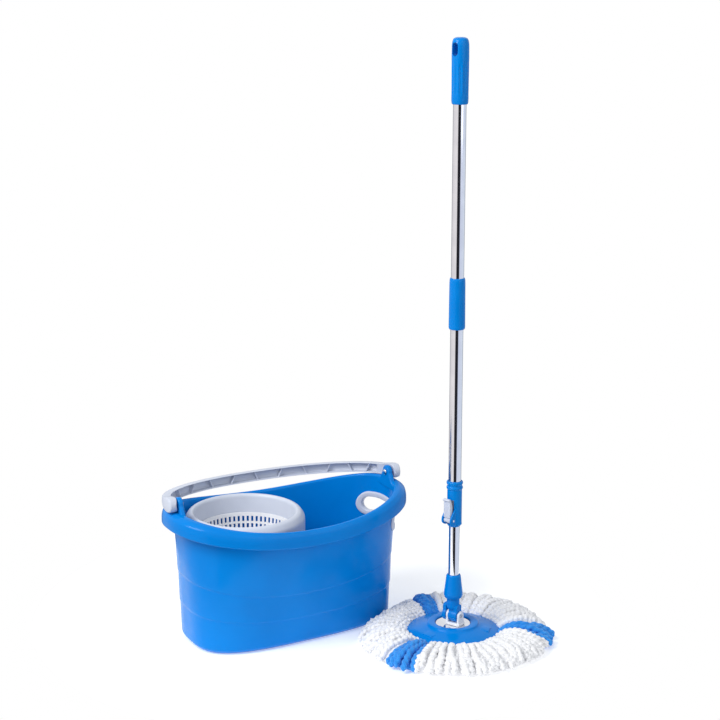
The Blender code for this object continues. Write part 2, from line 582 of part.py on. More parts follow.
def make_foot(frame, white, dish_z):
    """Foot of the tilt joint: a block with one ear in the fork and one in front of it."""
    base_low = dish_z + DISH_THICKNESS + GAP
    base_high = base_low + FOOT_BLOCK
    back, front = EAR_SLOT[1] - GAP, FORK_FRONT - EAR_PLAY - EAR_FRONT_THICKNESS
    block = box((-0.0098, front - 0.0015, base_low), (0.0098, back, base_high))
    foot = add_object("swivel_foot", block, white, parent=frame)
    round_ear = (arc(0.0, TILT_Z, EAR_HEIGHT, 0.0, 180.0, 12)
                 + [(-0.0098, base_low + 0.001), (0.0098, base_low + 0.001)])
    pointed_ear = [(0.0098, base_low + 0.001), (0.0075, TILT_Z + 0.0020), (0.0, TILT_Z + EAR_HEIGHT),
                   (-0.0075, TILT_Z + 0.0020), (-0.0098, base_low + 0.001)]
    for name, outline, low, high in (
            ("foot_ear_back", round_ear, EAR_SLOT[0] + GAP, back),
            ("foot_ear_front", pointed_ear, front, FORK_FRONT - EAR_PLAY)):
        ear = prism(outline, low, high, "Y")
        boolean(foot, add_object(name, ear, white, parent=frame), "UNION")
    spigot = rod(SPIGOT_R, dish_z, base_low + 0.001, ROUND_SMALL)
    boolean(foot, add_object("foot_spigot", spigot, white, parent=frame), "UNION")
    pin_bore = moved(rod(TILT_PIN_R + GAP, -0.03, 0.03, ROUND), axis="X", angle=math.pi / 2.0,
                     offset=(0.0, 0.0, TILT_Z))
    boolean(foot, add_object("foot_pin_bore", pin_bore, white, parent=frame), "DIFFERENCE")
    screw_bore = rod(SCREW_R + GAP, dish_z - 0.001, base_high + 0.001, ROUND_SMALL)
    boolean(foot, add_object("foot_screw_bore", screw_bore, white, parent=frame), "DIFFERENCE")


def nearest_wall():
    """Distance and direction, in the mop's own frame, from its axis to the bucket's foot."""
    best = None
    for i in range(720):
        x, y, _ = wall_point(2.0 * math.pi * i / 720, STRAND_HEIGHT)
        to_wall = Vector((x - MOP_X, y - MOP_Y))
        if best is None or to_wall.length < best.length:
            best = to_wall
    return best.length, math.atan2(best.y, best.x) - TILT_YAW


def strand_ring(angle, distance, direction):
    """Outline of the pile at one angle, drawn in where the bucket stands in its way."""
    facing = math.cos(angle - direction)
    reach = STRAND_REACH
    if facing > 0.2:
        reach = min(reach, (distance - STRAND_CLEAR) / facing)
    scale = (reach - STRAND_INNER_R) / (STRAND_REACH - STRAND_INNER_R)
    top = STRAND_HEIGHT
    shape = [(0.0, 0.0), (0.0, PLATE_EDGE_Z - 0.0018), (0.052, PLATE_EDGE_Z - 0.0018),
             (0.060, 0.53 * top), (0.19, 0.84 * top), (0.34, top), (0.56, 0.93 * top),
             (0.79, 0.66 * top), (0.93, 0.36 * top), (1.0, 0.12 * top), (0.97, 0.0)]
    span = STRAND_REACH - STRAND_INNER_R
    points = []
    for share, z in shape:
        tight = share * span if share <= 0.06 else 0.06 * span + (share - 0.06) / 0.94 * (
            scale * span - 0.06 * span)
        r = STRAND_INNER_R + tight
        points.append((r * math.cos(angle), r * math.sin(angle), z))
    return points


def strand_sector(start, end, steps):
    distance, direction = nearest_wall()
    return loft([strand_ring(start + (end - start) * i / steps, distance, direction)
                 for i in range(steps + 1)])


def strands(frame, yarn, blue_yarn):
    seam = 0.0006 / STRAND_INNER_R
    pitch = 2.0 * math.pi / BUNCHES
    for k in range(BUNCHES):
        middle = BUNCH_START + pitch * k
        bunch = strand_sector(middle - BUNCH_HALF_ANGLE, middle + BUNCH_HALF_ANGLE, 4)
        add_object(f"blue_strands_{k + 1}", bunch, blue_yarn, parent=frame)
        pile = strand_sector(middle + BUNCH_HALF_ANGLE + seam,
                             middle + pitch - BUNCH_HALF_ANGLE - seam, 12)
        add_object(f"white_strands_{k + 1}", pile, yarn, parent=frame)


# ---------------------------------------------------------------- lower pole
def cheek_outline():
    return (arc(0.0, 0.0, KNUCKLE_R, 180.0, 360.0, 12)
            + [(NECK_R - 0.0006, EAR_HEIGHT + 0.0055), (-NECK_R + 0.0006, EAR_HEIGHT + 0.0055)])


def make_lower_pole(axis, blue, steel, white):
    down = (0.0, 0.0, -TILT_Z)
    clear = EAR_HEIGHT + 0.0007
    spigot_r = INNER_TUBE_R - TUBE_WALL - GAP
    neck = [(0.0, TILT_Z + clear + 0.002), (NECK_R, TILT_Z + clear + 0.002), (NECK_R, NECK_TOP),
            (spigot_r, NECK_TOP), (spigot_r, LOWER_SLEEVE_TOP - 0.010),
            (0.0, LOWER_SLEEVE_TOP - 0.010)]
    fork = add_object("tilt_fork", turned(neck), blue, parent=axis, offset=down)
    shoulder = box((-NECK_R + 0.0006, FORK_FRONT, clear), (NECK_R - 0.0006, FORK_BACK, clear + 0.0083))
    boolean(fork, add_object("fork_shoulder", shoulder, blue, parent=axis), "UNION")
    for name, low, high in (("fork_front_cheek", FORK_FRONT, EAR_SLOT[0]),
                            ("fork_back_cheek", EAR_SLOT[1], FORK_BACK)):
        cheek = prism(cheek_outline(), low, high, "Y")
        boolean(fork, add_object(name, cheek, blue, parent=axis), "UNION")
    bore = moved(rod(TILT_PIN_R + RUN, -0.03, 0.03, ROUND), axis="X", angle=math.pi / 2.0)
    boolean(fork, add_object("fork_pin_bore", bore, blue, parent=axis), "DIFFERENCE")

    bore, foot_r = INNER_TUBE_R + GAP, LOWER_SLEEVE_R - 0.0012
    flare = [(bore, NECK_TOP + GAP), (NECK_R + GAP, NECK_TOP + GAP),
             (NECK_R + GAP, NECK_TOP - 0.0035), (foot_r, NECK_TOP - 0.0035),
             (foot_r, NECK_TOP - 0.0005), (LOWER_SLEEVE_R, NECK_TOP + 0.0010),
             (LOWER_SLEEVE_R, NECK_TOP + 0.0040), (bore + 0.0030, LOWER_SLEEVE_TOP - 0.0020),
             (bore + 0.0022, LOWER_SLEEVE_TOP), (bore, LOWER_SLEEVE_TOP)]
    add_object("lower_sleeve", turned(flare), blue, parent=axis, offset=down)
    inner = tube(INNER_TUBE_R, INNER_TUBE_R - TUBE_WALL, NECK_TOP + GAP, INNER_TUBE_TOP)
    add_object("inner_tube", inner, steel, parent=axis, offset=down)
    nut = tube(spigot_r, ROD_HALF_WIDTH + ROD_PLAY, *NUT)
    add_object("drive_nut", nut, white, parent=axis, offset=down)


def make_tilt_pin(frame, white):
    front = FORK_FRONT - EAR_PLAY - EAR_FRONT_THICKNESS - 0.0006
    pin = tube(TILT_PIN_R, TILT_PIN_BORE, -FORK_BACK + 0.0004, -front, ROUND)
    moved(pin, axis="X", angle=math.pi / 2.0, offset=(0.0, 0.0, TILT_Z))
    add_object("tilt_pin", pin, white, parent=frame)


# ---------------------------------------------------------------- handle
def latch_cheek():
    """Side plate that carries the lever's pin: a round nose and a slanted upper edge."""
    nose, low, pin = CHEEK_NOSE_X, LATCH_BOTTOM + 0.0034, LATCH_PIN_Z
    return [(-0.0040, low), (nose + 0.0075, low + 0.0005), (nose + 0.0022, low + 0.0035),
            (nose, pin - 0.0020), (nose + 0.0004, pin + 0.0030), (-0.0040, pin + 0.0267)]


def make_latch(axis, blue, grey, steel):
    slide_r, seat_r = INNER_TUBE_R + RUN, OUTER_TUBE_R + GAP
    bottom, top, r = LATCH_BOTTOM, LATCH_TOP, LATCH_R
    body = [(slide_r, bottom), (r - 0.0022, bottom), (r, bottom + 0.0034), (r, top - 0.0140),
            (r + LATCH_BEAD, top - 0.0118), (r + LATCH_BEAD, top - 0.0110), (r, top - 0.0090),
            (r, top - 0.0058), (r + LATCH_BEAD, top - 0.0034), (r + LATCH_BEAD, top - 0.0014),
            (r + 0.0002, top), (seat_r, top), (seat_r, LATCH_SEAT_Z - GAP),
            (slide_r, LATCH_SEAT_Z - GAP)]
    housing = add_object("latch_housing", turned(body), blue, parent=axis)
    half = LEVER_HALF_WIDTH + RUN
    cheek_out = half + CHEEK_THICKNESS
    for name, low, high in (("cheek_near", -cheek_out, -half), ("cheek_far", half, cheek_out)):
        cheek = prism(latch_cheek(), low, high, "Y")
        boolean(housing, add_object(name, cheek, blue, parent=axis), "UNION")
    window = box((-0.0400, -half, bottom + 0.0050),
                 (-0.0050, half, LATCH_PIN_Z + LEVER_LENGTH - 0.0037))
    boolean(housing, add_object("latch_window", window, blue, parent=axis), "DIFFERENCE")
    passage = rod(slide_r, bottom - 0.01, LATCH_SEAT_Z - GAP, ROUND)
    boolean(housing, add_object("latch_passage", passage, blue, parent=axis), "DIFFERENCE")
    pin_bore = moved(rod(LATCH_PIN_R + GAP, -0.02, 0.02, ROUND_SMALL), axis="X", angle=math.pi / 2.0,
                     offset=(LATCH_PIN_X, 0.0, LATCH_PIN_Z))
    boolean(housing, add_object("latch_pin_bore", pin_bore, blue, parent=axis), "DIFFERENCE")
    pin = moved(rod(LATCH_PIN_R, -cheek_out, cheek_out, ROUND_SMALL), axis="X",
                angle=math.pi / 2.0, offset=(LATCH_PIN_X, 0.0, LATCH_PIN_Z))
    add_object("latch_pin", pin, steel, parent=axis)


def make_lever(axis, grey):
    """Cam lever, drawn about its own pin: a D-shaped side with a thumb tab on top."""
    pivot = empty("latch_lever_axis", (LATCH_PIN_X, 0.0, LATCH_PIN_Z), parent=axis)
    face, top = LEVER_FACE, LEVER_LENGTH
    cam = -LATCH_PIN_X - INNER_TUBE_R - RUN
    belly = -LATCH_PIN_X - LATCH_R + GAP
    outline = (arc(0.0, 0.0, cam, -90.0, 0.0, 4)
               + [(cam, 0.10 * top), (belly, 0.30 * top), (belly + 0.0004, 0.60 * top),
                  (belly - 0.0014, 0.78 * top), (belly - 0.0040, 0.92 * top),
                  (1.6 * -face + 0.0050, top), (1.6 * -face, 0.95 * top),
                  (1.6 * -face, 0.91 * top), (-face, 0.86 * top), (-face, 0.10 * top)]
               + arc(0.0, 0.0, face, 180.0, 215.0, 3))
    body = prism(outline, -LEVER_HALF_WIDTH, LEVER_HALF_WIDTH, "Y")
    lever = add_object("latch_lever", body, grey, parent=pivot)
    bore = moved(rod(LATCH_PIN_R + RUN, -0.02, 0.02, ROUND_SMALL), axis="X", angle=math.pi / 2.0)
    boolean(lever, add_object("lever_bore", bore, grey, parent=pivot), "DIFFERENCE")


def fluted_grip():
    """Grip with shallow lengthwise flutes, a domed top and a blind bore for the tube."""
    bottom, top, r = GRIP_BOTTOM, GRIP_TOP, GRIP_R
    bore = OUTER_TUBE_R + GAP
    sides = GRIP_FLUTES * 3
    profile = [(bore, UPPER_TUBE_TOP + 0.0010, 0.0), (bore, bottom, 0.0), (r - 0.0012, bottom, 0.0),
               (r - 0.0005, bottom + 0.0100, 0.0), (r - 0.0003, bottom + 0.0180, 0.0005),
               (r, bottom + 0.0680, 0.0006), (r - 0.0002, bottom + 0.0760, 0.0),
               (r - 0.0006, top - 0.0072, 0.0), (r - 0.0030, top - 0.0030, 0.0),
               (r - 0.0080, top, 0.0)]
    rings = []
    for radius, z, depth in profile:
        ring = []
        for i in range(sides):
            angle = 2.0 * math.pi * i / sides
            r_here = radius - depth * (0.5 - 0.5 * math.cos(GRIP_FLUTES * angle))
            ring.append((r_here * math.cos(angle), r_here * math.sin(angle), z))
        rings.append(ring)
    return loft(rings)


def twisted_rod():
    """Flat bar twisted once in every pitch."""
    top = ANCHOR_BOTTOM + 0.0120
    steps = round((top - ROD_BOTTOM) / ROD_PITCH * 12)
    rings = []
    for i in range(steps + 1):
        z = ROD_BOTTOM + (top - ROD_BOTTOM) * i / steps
        turn = 2.0 * math.pi * (z - ROD_BOTTOM) / ROD_PITCH
        c, s = math.cos(turn), math.sin(turn)
        corners = [(-1, -1), (1, -1), (1, 1), (-1, 1)]
        rings.append([(c * u * ROD_HALF_WIDTH - s * v * ROD_HALF_THICKNESS,
                       s * u * ROD_HALF_WIDTH + c * v * ROD_HALF_THICKNESS, z)
                      for u, v in corners])
    return loft(rings)


def make_handle(axis, blue, grey, steel, white):
    make_latch(axis, blue, grey, steel)
    inner_r = OUTER_TUBE_R - TUBE_WALL
    lower = tube(OUTER_TUBE_R, inner_r, LATCH_SEAT_Z, TUBE_JOIN_Z)
    add_object("outer_tube_lower", lower, steel, parent=axis)
    upper = tube(OUTER_TUBE_R, inner_r, TUBE_JOIN_Z + 0.0010, UPPER_TUBE_TOP)
    add_object("outer_tube_upper", upper, steel, parent=axis)
    low, high = MID_SLEEVE
    bore, r = OUTER_TUBE_R + GAP, MID_SLEEVE_R
    sleeve = [(bore, low), (r - 0.0014, low), (r, low + 0.0016), (r, low + 0.010),
              (r - 0.0005, high - 0.010), (r - 0.0007, high - 0.0016), (r - 0.0018, high),
              (bore, high)]
    add_object("middle_sleeve", turned(sleeve), blue, parent=axis)
    plug_r = inner_r - GAP
    anchor_top = ANCHOR_BOTTOM + 0.0150
    insert = rod(plug_r, anchor_top + GAP, TUBE_JOIN_Z + 0.030)
    add_object("coupling_insert", insert, white, parent=axis)
    socket = ROD_HALF_WIDTH + 0.0005
    anchor = [(socket, ANCHOR_BOTTOM), (plug_r, ANCHOR_BOTTOM), (plug_r, anchor_top),
              (0.0, anchor_top), (0.0, anchor_top - 0.0025), (socket, anchor_top - 0.0025)]
    add_object("rod_anchor", turned(anchor), grey, parent=axis)
    add_object("drive_rod", twisted_rod(), steel, parent=axis, smooth_angle=40.0)
    grip = add_object("grip", fluted_grip(), blue, parent=axis)
    slot_low, slot_high = HANG_SLOT
    w = HANG_SLOT_HALF_WIDTH
    outline = arc(0.0, slot_high - w, w, 0.0, 180.0, 10) + arc(0.0, slot_low + w, w, 180.0, 360.0, 10)
    cutter = prism(outline, -0.03, 0.03, "X")
    boolean(grip, add_object("hang_slot", cutter, blue, parent=axis), "DIFFERENCE")


def make_glide_bush(axis, white):
    spigot_r = INNER_TUBE_R - TUBE_WALL - RUN
    bore, head_r = ROD_HALF_WIDTH + ROD_PLAY, OUTER_TUBE_R - TUBE_WALL - RUN
    low = INNER_TUBE_TOP
    bush = [(bore, low - 0.0150), (spigot_r, low - 0.0150), (spigot_r, low + GAP),
            (head_r, low + GAP), (head_r, low + 0.0120), (bore, low + 0.0120)]
    add_object("glide_bush", turned(bush), white, parent=axis)


# ---------------------------------------------------------------- assembly
def main():
    clear_scene()
    blue = material("blue_plastic", (0.0, 0.19, 0.72), 0.32)
    grey = material("grey_plastic", (0.50, 0.54, 0.62), 0.42)
    white = material("white_plastic", (0.86, 0.87, 0.90), 0.40)
    steel = material("polished_steel", (0.72, 0.71, 0.70), 0.15, 1.0)
    yarn = material("white_yarn", (0.90, 0.90, 0.91), 0.95)
    blue_yarn = material("blue_yarn", (0.05, 0.26, 0.75), 0.95)

    make_bucket(blue, grey, steel)
    make_bail(grey)
    make_basket(grey, white)

    mop = empty("mop_frame", (MOP_X, MOP_Y, 0.0), yaw=TILT_YAW)
    make_head(mop, blue, steel, white, yarn, blue_yarn)
    make_tilt_pin(mop, white)
    tilt = empty("tilt_axis", (0.0, 0.0, TILT_Z), parent=mop)
    make_lower_pole(tilt, blue, steel, white)
    pole = empty("pole_axis", (0.0, 0.0, -TILT_Z), yaw=HANDLE_YAW - TILT_YAW, parent=tilt)
    make_glide_bush(pole, white)
    make_handle(pole, blue, grey, steel, white)
    make_lever(pole, grey)


main()
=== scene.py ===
# %% [markdown]
# # A spin mop and its wringer bucket
# The set is two things that stand side by side: an oval bucket with a spinning basket, and a
# telescopic mop whose twisted rod turns the pole when it is pushed down.  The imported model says
# where each piece sits and how it moves.  This script only gives the pieces their fine surfaces
# and finishes, so every place below is asked from the frame.

# %% Load the frame
import json
import math

import bmesh
import bpy
import mathutils
import numpy as np
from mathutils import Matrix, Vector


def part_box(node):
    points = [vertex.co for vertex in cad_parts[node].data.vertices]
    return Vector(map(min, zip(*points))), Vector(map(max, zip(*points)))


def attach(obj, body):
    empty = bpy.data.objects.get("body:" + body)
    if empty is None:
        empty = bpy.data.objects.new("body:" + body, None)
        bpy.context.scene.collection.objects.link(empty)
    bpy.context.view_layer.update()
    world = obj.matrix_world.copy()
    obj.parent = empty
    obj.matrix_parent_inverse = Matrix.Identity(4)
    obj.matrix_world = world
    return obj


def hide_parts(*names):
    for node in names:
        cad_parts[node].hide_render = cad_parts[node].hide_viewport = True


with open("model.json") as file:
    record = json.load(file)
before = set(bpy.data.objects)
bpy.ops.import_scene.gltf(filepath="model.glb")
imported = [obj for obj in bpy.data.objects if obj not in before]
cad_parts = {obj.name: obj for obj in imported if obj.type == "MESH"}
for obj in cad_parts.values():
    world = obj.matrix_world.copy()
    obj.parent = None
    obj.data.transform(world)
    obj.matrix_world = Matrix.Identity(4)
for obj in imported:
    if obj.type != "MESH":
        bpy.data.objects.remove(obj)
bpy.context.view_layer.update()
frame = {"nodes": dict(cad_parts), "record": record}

# %% [markdown]
# ## Places
# A joint's axis and a tube's box already say where the mop stands and how its parts are turned,
# so nothing is typed twice.

# %% Ask the frame for the places
joints = {joint["name"]: joint for joint in frame["record"]["behaviour"]["joints"]}


def middle(node):
    """Half way between a node's lowest and highest corner."""
    low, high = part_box(node)
    return 0.5 * (np.array(low) + np.array(high))


def outer_radius(node):
    """Half of a round node's width along X."""
    low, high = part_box(node)
    return 0.5 * (high[0] - low[0])


mop_x, mop_y = middle("inner_tube")[:2]
basket_x = middle("splash_collar")[0]
tilt_z = joints["head_tilt"]["pos_m"][2]
pivot_z = joints["bail_swing"]["pos_m"][2]
tilt_yaw = math.atan2(-joints["head_tilt"]["axis"][0], joints["head_tilt"]["axis"][1])
handle_yaw = math.atan2(joints["latch_open"]["axis"][0], -joints["latch_open"]["axis"][1])
latch_pin = np.array(joints["latch_open"]["pos_m"])
print(f"mop at {mop_x:.3f}, {mop_y:.3f}; joint turned {math.degrees(tilt_yaw):.0f} degrees,"
      f" grip {math.degrees(handle_yaw):.0f} degrees")

# %% [markdown]
# ## Surfaces
# Nearly every piece here is moulded or drawn, so its shape is a section carried round an axis or
# along a path.  A section's corners are rounded first, and the whole surface is then one grid of
# points, which numpy works out in a single step.

# %% Helpers for sections and grids
def rounded(corners, radius, steps=5):
    """Closed outline with each corner replaced by a parabola arc.

    The arc starts and ends `radius` away from the corner along its two sides, or at 0.45 of a
    side that is shorter, and is p(t) = (1-t)^2 a + 2t(1-t) corner + t^2 b.
    """
    corners = np.asarray(corners, dtype=float)
    before, after = np.roll(corners, 1, axis=-2), np.roll(corners, -1, axis=-2)

    def side_point(other):
        side = other - corners
        length = np.linalg.norm(side, axis=-1, keepdims=True) + 1e-12
        return corners + side / length * np.minimum(radius, 0.45 * length)

    a, b = side_point(before), side_point(after)
    t = np.linspace(0.0, 1.0, steps)[:, None]
    arcs = ((1 - t) ** 2 * a[..., None, :] + 2 * t * (1 - t) * corners[..., None, :]
            + t ** 2 * b[..., None, :])
    return arcs.reshape(*corners.shape[:-2], -1, corners.shape[-1])


def filled(path, longest):
    """The closed path with points added evenly on every side longer than `longest`."""
    after = np.roll(path, -1, axis=0)
    counts = np.maximum(1, np.ceil(np.linalg.norm(after - path, axis=1) / longest).astype(int))
    start = np.repeat(np.arange(len(path)), counts)
    share = np.concatenate([np.arange(n) / n for n in counts])[:, None]
    return path[start] + (after - path)[start] * share


def grid(points, wrap_rows=False, wrap_columns=True):
    """Vertices and four-cornered faces of a grid of points, row after row."""
    rows, columns = points.shape[:2]
    index = np.arange(rows * columns).reshape(rows, columns)
    here = index if wrap_rows else index[:-1]
    above = np.roll(index, -1, axis=0) if wrap_rows else index[1:]
    right, above_right = np.roll(here, -1, axis=1), np.roll(above, -1, axis=1)
    if not wrap_columns:
        here, above = here[:, :-1], above[:, :-1]
        right, above_right = right[:, :-1], above_right[:, :-1]
    faces = np.stack([here, right, above_right, above], axis=-1).reshape(-1, 4)
    return points.reshape(-1, 3), faces.tolist()


def capped(points):
    """A grid that is closed round its columns, with a flat face over its first and last row."""
    vertices, faces = grid(points)
    count = points.shape[1]
    last = len(vertices) - count
    faces += [list(range(count))[::-1], list(range(last, last + count))]
    return vertices, faces


def joined(*solids):
    """Several solids in one list of vertices and one of faces."""
    vertices, faces, start = [], [], 0
    for points, polygons in solids:
        vertices.append(points)
        faces += [[start + corner for corner in polygon] for polygon in polygons]
        start += len(points)
    return np.concatenate(vertices), faces


def spun(profile, center, sides):
    """Points (r cos a, r sin a, z) at every angle a for each (r, z) of a profile."""
    angle = np.linspace(0.0, 2.0 * np.pi, sides, endpoint=False)
    profile = np.asarray(profile)
    radius, height = profile[:, :1], profile[:, 1:]
    return np.stack([center[0] + radius * np.cos(angle), center[1] + radius * np.sin(angle),
                     height + 0.0 * angle], axis=-1)


def turned(profile, center, sides=96):
    """Surface of revolution of a closed profile."""
    return grid(spun(profile, center, sides), wrap_rows=True)


def rod(profile, center, sides=48):
    """Solid of revolution for an open profile, closed by a flat face at each end."""
    return capped(spun(profile, center, sides))


def slab(outline, low, high, fillet, place, steps=4):
    """A plate with rounded edges.

    The outline is drawn at each level w, drawn in along its own normals by
    fillet (1 - sin q) while w runs through low + fillet (1 - cos q), for q from 0 to 90 degrees,
    and mirrored on the far side.  place(u, v, w) puts the three into the row's frame.
    """
    outline = np.asarray(outline)
    ahead = np.roll(outline, -1, axis=0) - np.roll(outline, 1, axis=0)
    normal = np.stack([ahead[:, 1], -ahead[:, 0]], axis=1)
    normal /= np.linalg.norm(normal, axis=1, keepdims=True) + 1e-12
    turn = np.sum(outline[:, 0] * np.roll(outline[:, 1], -1)
                  - np.roll(outline[:, 0], -1) * outline[:, 1])
    normal *= math.copysign(1.0, turn)
    q = np.linspace(0.0, np.pi / 2, steps)
    inset = fillet * (1 - np.sin(q))
    level = fillet * (1 - np.cos(q))
    insets = np.concatenate([inset, inset[::-1]])
    levels = np.concatenate([low + level, high - level[::-1]])
    flat = outline[None] - normal[None] * insets[:, None, None]
    return capped(place(flat[..., 0], flat[..., 1], levels[:, None] + 0.0 * flat[..., 0]))


# %% Helpers that put a surface into the scene
def mesh_object(name, solid):
    """An object with the solid's faces all turned outwards."""
    mesh = bpy.data.meshes.new(name)
    mesh.from_pydata(np.asarray(solid[0]).tolist(), [], solid[1])
    work = bmesh.new()
    work.from_mesh(mesh)
    bmesh.ops.recalc_face_normals(work, faces=work.faces)
    work.to_mesh(mesh)
    work.free()
    made = bpy.data.objects.new(name, mesh)
    bpy.context.collection.objects.link(made)
    return made


def soften(mesh, sharpest):
    """Smooth shading, except at edges sharper than this many degrees."""
    mesh.shade_smooth()
    mesh.set_sharp_from_angle(angle=math.radians(sharpest))


def put(name, solid, material, body, replaces=(), smooth=35.0):
    """Make the object, close its normals outwards, and hand it to its body."""
    piece = mesh_object(name, solid)
    mesh = piece.data
    soften(mesh, smooth)
    mesh.materials.append(material)
    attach(piece, body)
    if replaces:
        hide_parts(*replaces)
    print(f"{name}: {len(mesh.vertices)} points on {body}")
    return piece


def cut(piece, solid, smooth=35.0, crossing=False):
    """Take a solid away from a piece for good; `crossing` is for pieces whose solids overlap."""
    cutter = mesh_object("cutter", solid)
    modifier = piece.modifiers.new("cut", "BOOLEAN")
    modifier.object, modifier.operation, modifier.solver = cutter, "DIFFERENCE", "EXACT"
    modifier.use_self = crossing
    bpy.context.view_layer.update()
    evaluated = piece.evaluated_get(bpy.context.evaluated_depsgraph_get())
    mesh = bpy.data.meshes.new_from_object(evaluated)
    piece.modifiers.clear()
    piece.data = mesh
    soften(mesh, smooth)
    bpy.data.objects.remove(cutter, do_unlink=True)


def in_frame(yaw, center_x=0.0, center_y=0.0, z=0.0):
    """A placer for slabs: u and v are along and up, w goes to the side, all turned by yaw."""
    c, s = math.cos(yaw), math.sin(yaw)

    def place(u, v, w):
        return np.stack([center_x + c * u - s * w, center_y + s * u + c * w, z + v], axis=-1)
    return place


def circle(center_u, center_v, radius, start=0.0, end=360.0, steps=24):
    """Points on an arc, in degrees, without the end point of a full turn."""
    a = np.radians(np.linspace(start, end, steps, endpoint=abs(end - start) < 359.9))
    return np.stack([center_u + radius * np.cos(a), center_v + radius * np.sin(a)], axis=1)


# %% [markdown]
# ## Effects the finishes share
# Moulded plastic is never one flat colour: pigment flows in clouds, the mould leaves a fine skin,
# and handling leaves hair-thin scuffs.  Each effect is one shader node group, built once and
# placed in every material that shows it with its own numbers.

# %% Helper for node groups
def new_group(name, inputs, outputs):
    """A shader node group with named float or colour sockets, and its input and output nodes."""
    group = bpy.data.node_groups.new(name, "ShaderNodeTree")
    for label, kind, value in inputs:
        socket = group.interface.new_socket(label, in_out="INPUT", socket_type=kind)
        socket.default_value = value
    for label, kind in outputs:
        group.interface.new_socket(label, in_out="OUTPUT", socket_type=kind)
    start = group.nodes.new("NodeGroupInput")
    end = group.nodes.new("NodeGroupOutput")
    return group, start, end


def node(tree, kind, links=None, **settings):
    """Add a node, set its properties and sockets, and link what feeds it."""
    made = tree.nodes.new(kind)
    for key, value in settings.items():
        if key in made.inputs:
            made.inputs[key].default_value = value
        else:
            setattr(made, key, value)
    for socket, source in (links or {}).items():
        tree.links.new(source, made.inputs[socket])
    return made


FLOAT, COLOR = "NodeSocketFloat", "NodeSocketColor"


def ramp(tree, source, low, high):
    """Straight ramp that is 0 at low and 1 at high."""
    made = node(tree, "ShaderNodeMapRange", {0: source})
    made.inputs[1].default_value, made.inputs[2].default_value = low, high
    return made.outputs[0]


def mixed(tree, mask, first, second):
    """Colour between two by a mask; each is a socket or a fixed colour."""
    made = node(tree, "ShaderNodeMix", data_type="RGBA")
    tree.links.new(mask, made.inputs[0])
    for slot, value in ((6, first), (7, second)):
        if isinstance(value, tuple):
            made.inputs[slot].default_value = value
        else:
            tree.links.new(value, made.inputs[slot])
    return made.outputs[2]


def scuffed_roughness(tree, marks, surface, rise):
    """The skin's roughness, raised by `rise` where the scuffs are."""
    made = node(tree, "ShaderNodeMath", {0: marks.outputs["Mask"],
                                         2: surface.outputs["Roughness"]},
                operation="MULTIPLY_ADD")
    made.inputs[1].default_value = rise
    return made.outputs[0]


# %% Pigment clouds
def build_pigment():
    """Two octaves of soft noise mix a lighter and a darker batch of the same colour."""
    group, start, end = new_group(
        "pigment_clouds",
        [("Light", COLOR, (1, 1, 1, 1)), ("Dark", COLOR, (0, 0, 0, 1)), ("Scale", FLOAT, 9.0)],
        [("Color", COLOR)])
    place = node(group, "ShaderNodeTexCoord").outputs["Object"]
    noise = node(group, "ShaderNodeTexNoise", {"Vector": place, "Scale": start.outputs["Scale"]},
                 Detail=3.0, Roughness=0.55)
    mask = ramp(group, noise.outputs["Fac"], 0.30, 0.70)
    color = mixed(group, mask, start.outputs["Light"], start.outputs["Dark"])
    group.links.new(color, end.inputs["Color"])
    return group


# %% Mould skin, scuffs and worn edges
def build_mould_skin():
    """Fine spark-eroded grain as a height, and a roughness that wanders between two values."""
    group, start, end = new_group(
        "mould_skin",
        [("Grain", FLOAT, 900.0), ("Smooth", FLOAT, 0.25), ("Dull", FLOAT, 0.38)],
        [("Height", FLOAT), ("Roughness", FLOAT)])
    place = node(group, "ShaderNodeTexCoord").outputs["Object"]
    fine = node(group, "ShaderNodeTexNoise", {"Vector": place, "Scale": start.outputs["Grain"]},
                Detail=2.0)
    broad = node(group, "ShaderNodeTexNoise", {"Vector": place}, Scale=22.0, Detail=4.0)
    spread = node(group, "ShaderNodeMapRange", {0: broad.outputs["Fac"],
                                                3: start.outputs["Smooth"],
                                                4: start.outputs["Dull"]})
    spread.inputs[1].default_value, spread.inputs[2].default_value = 0.35, 0.65
    group.links.new(fine.outputs["Fac"], end.inputs["Height"])
    group.links.new(spread.outputs[0], end.inputs["Roughness"])
    return group


def build_scuffs():
    """Hair-thin streaks: noise stretched forty times along one way, cut off near its peaks."""
    group, start, end = new_group(
        "handling_scuffs", [("Amount", FLOAT, 0.5), ("Scale", FLOAT, 30.0)], [("Mask", FLOAT)])
    place = node(group, "ShaderNodeTexCoord").outputs["Object"]
    masks = []
    for turn in (0.5, 1.9):
        stretch = node(group, "ShaderNodeMapping", {"Vector": place})
        stretch.inputs["Rotation"].default_value = (turn, 0.4 * turn, turn)
        stretch.inputs["Scale"].default_value = (1.0, 40.0, 14.0)
        noise = node(group, "ShaderNodeTexNoise",
                     {"Vector": stretch.outputs[0], "Scale": start.outputs["Scale"]}, Detail=1.0)
        masks.append(ramp(group, noise.outputs["Fac"], 0.70, 0.78))
    both = node(group, "ShaderNodeMath", {0: masks[0], 1: masks[1]}, operation="MAXIMUM")
    scaled = node(group, "ShaderNodeMath", {0: both.outputs[0], 1: start.outputs["Amount"]},
                  operation="MULTIPLY")
    group.links.new(scaled.outputs[0], end.inputs["Mask"])
    return group


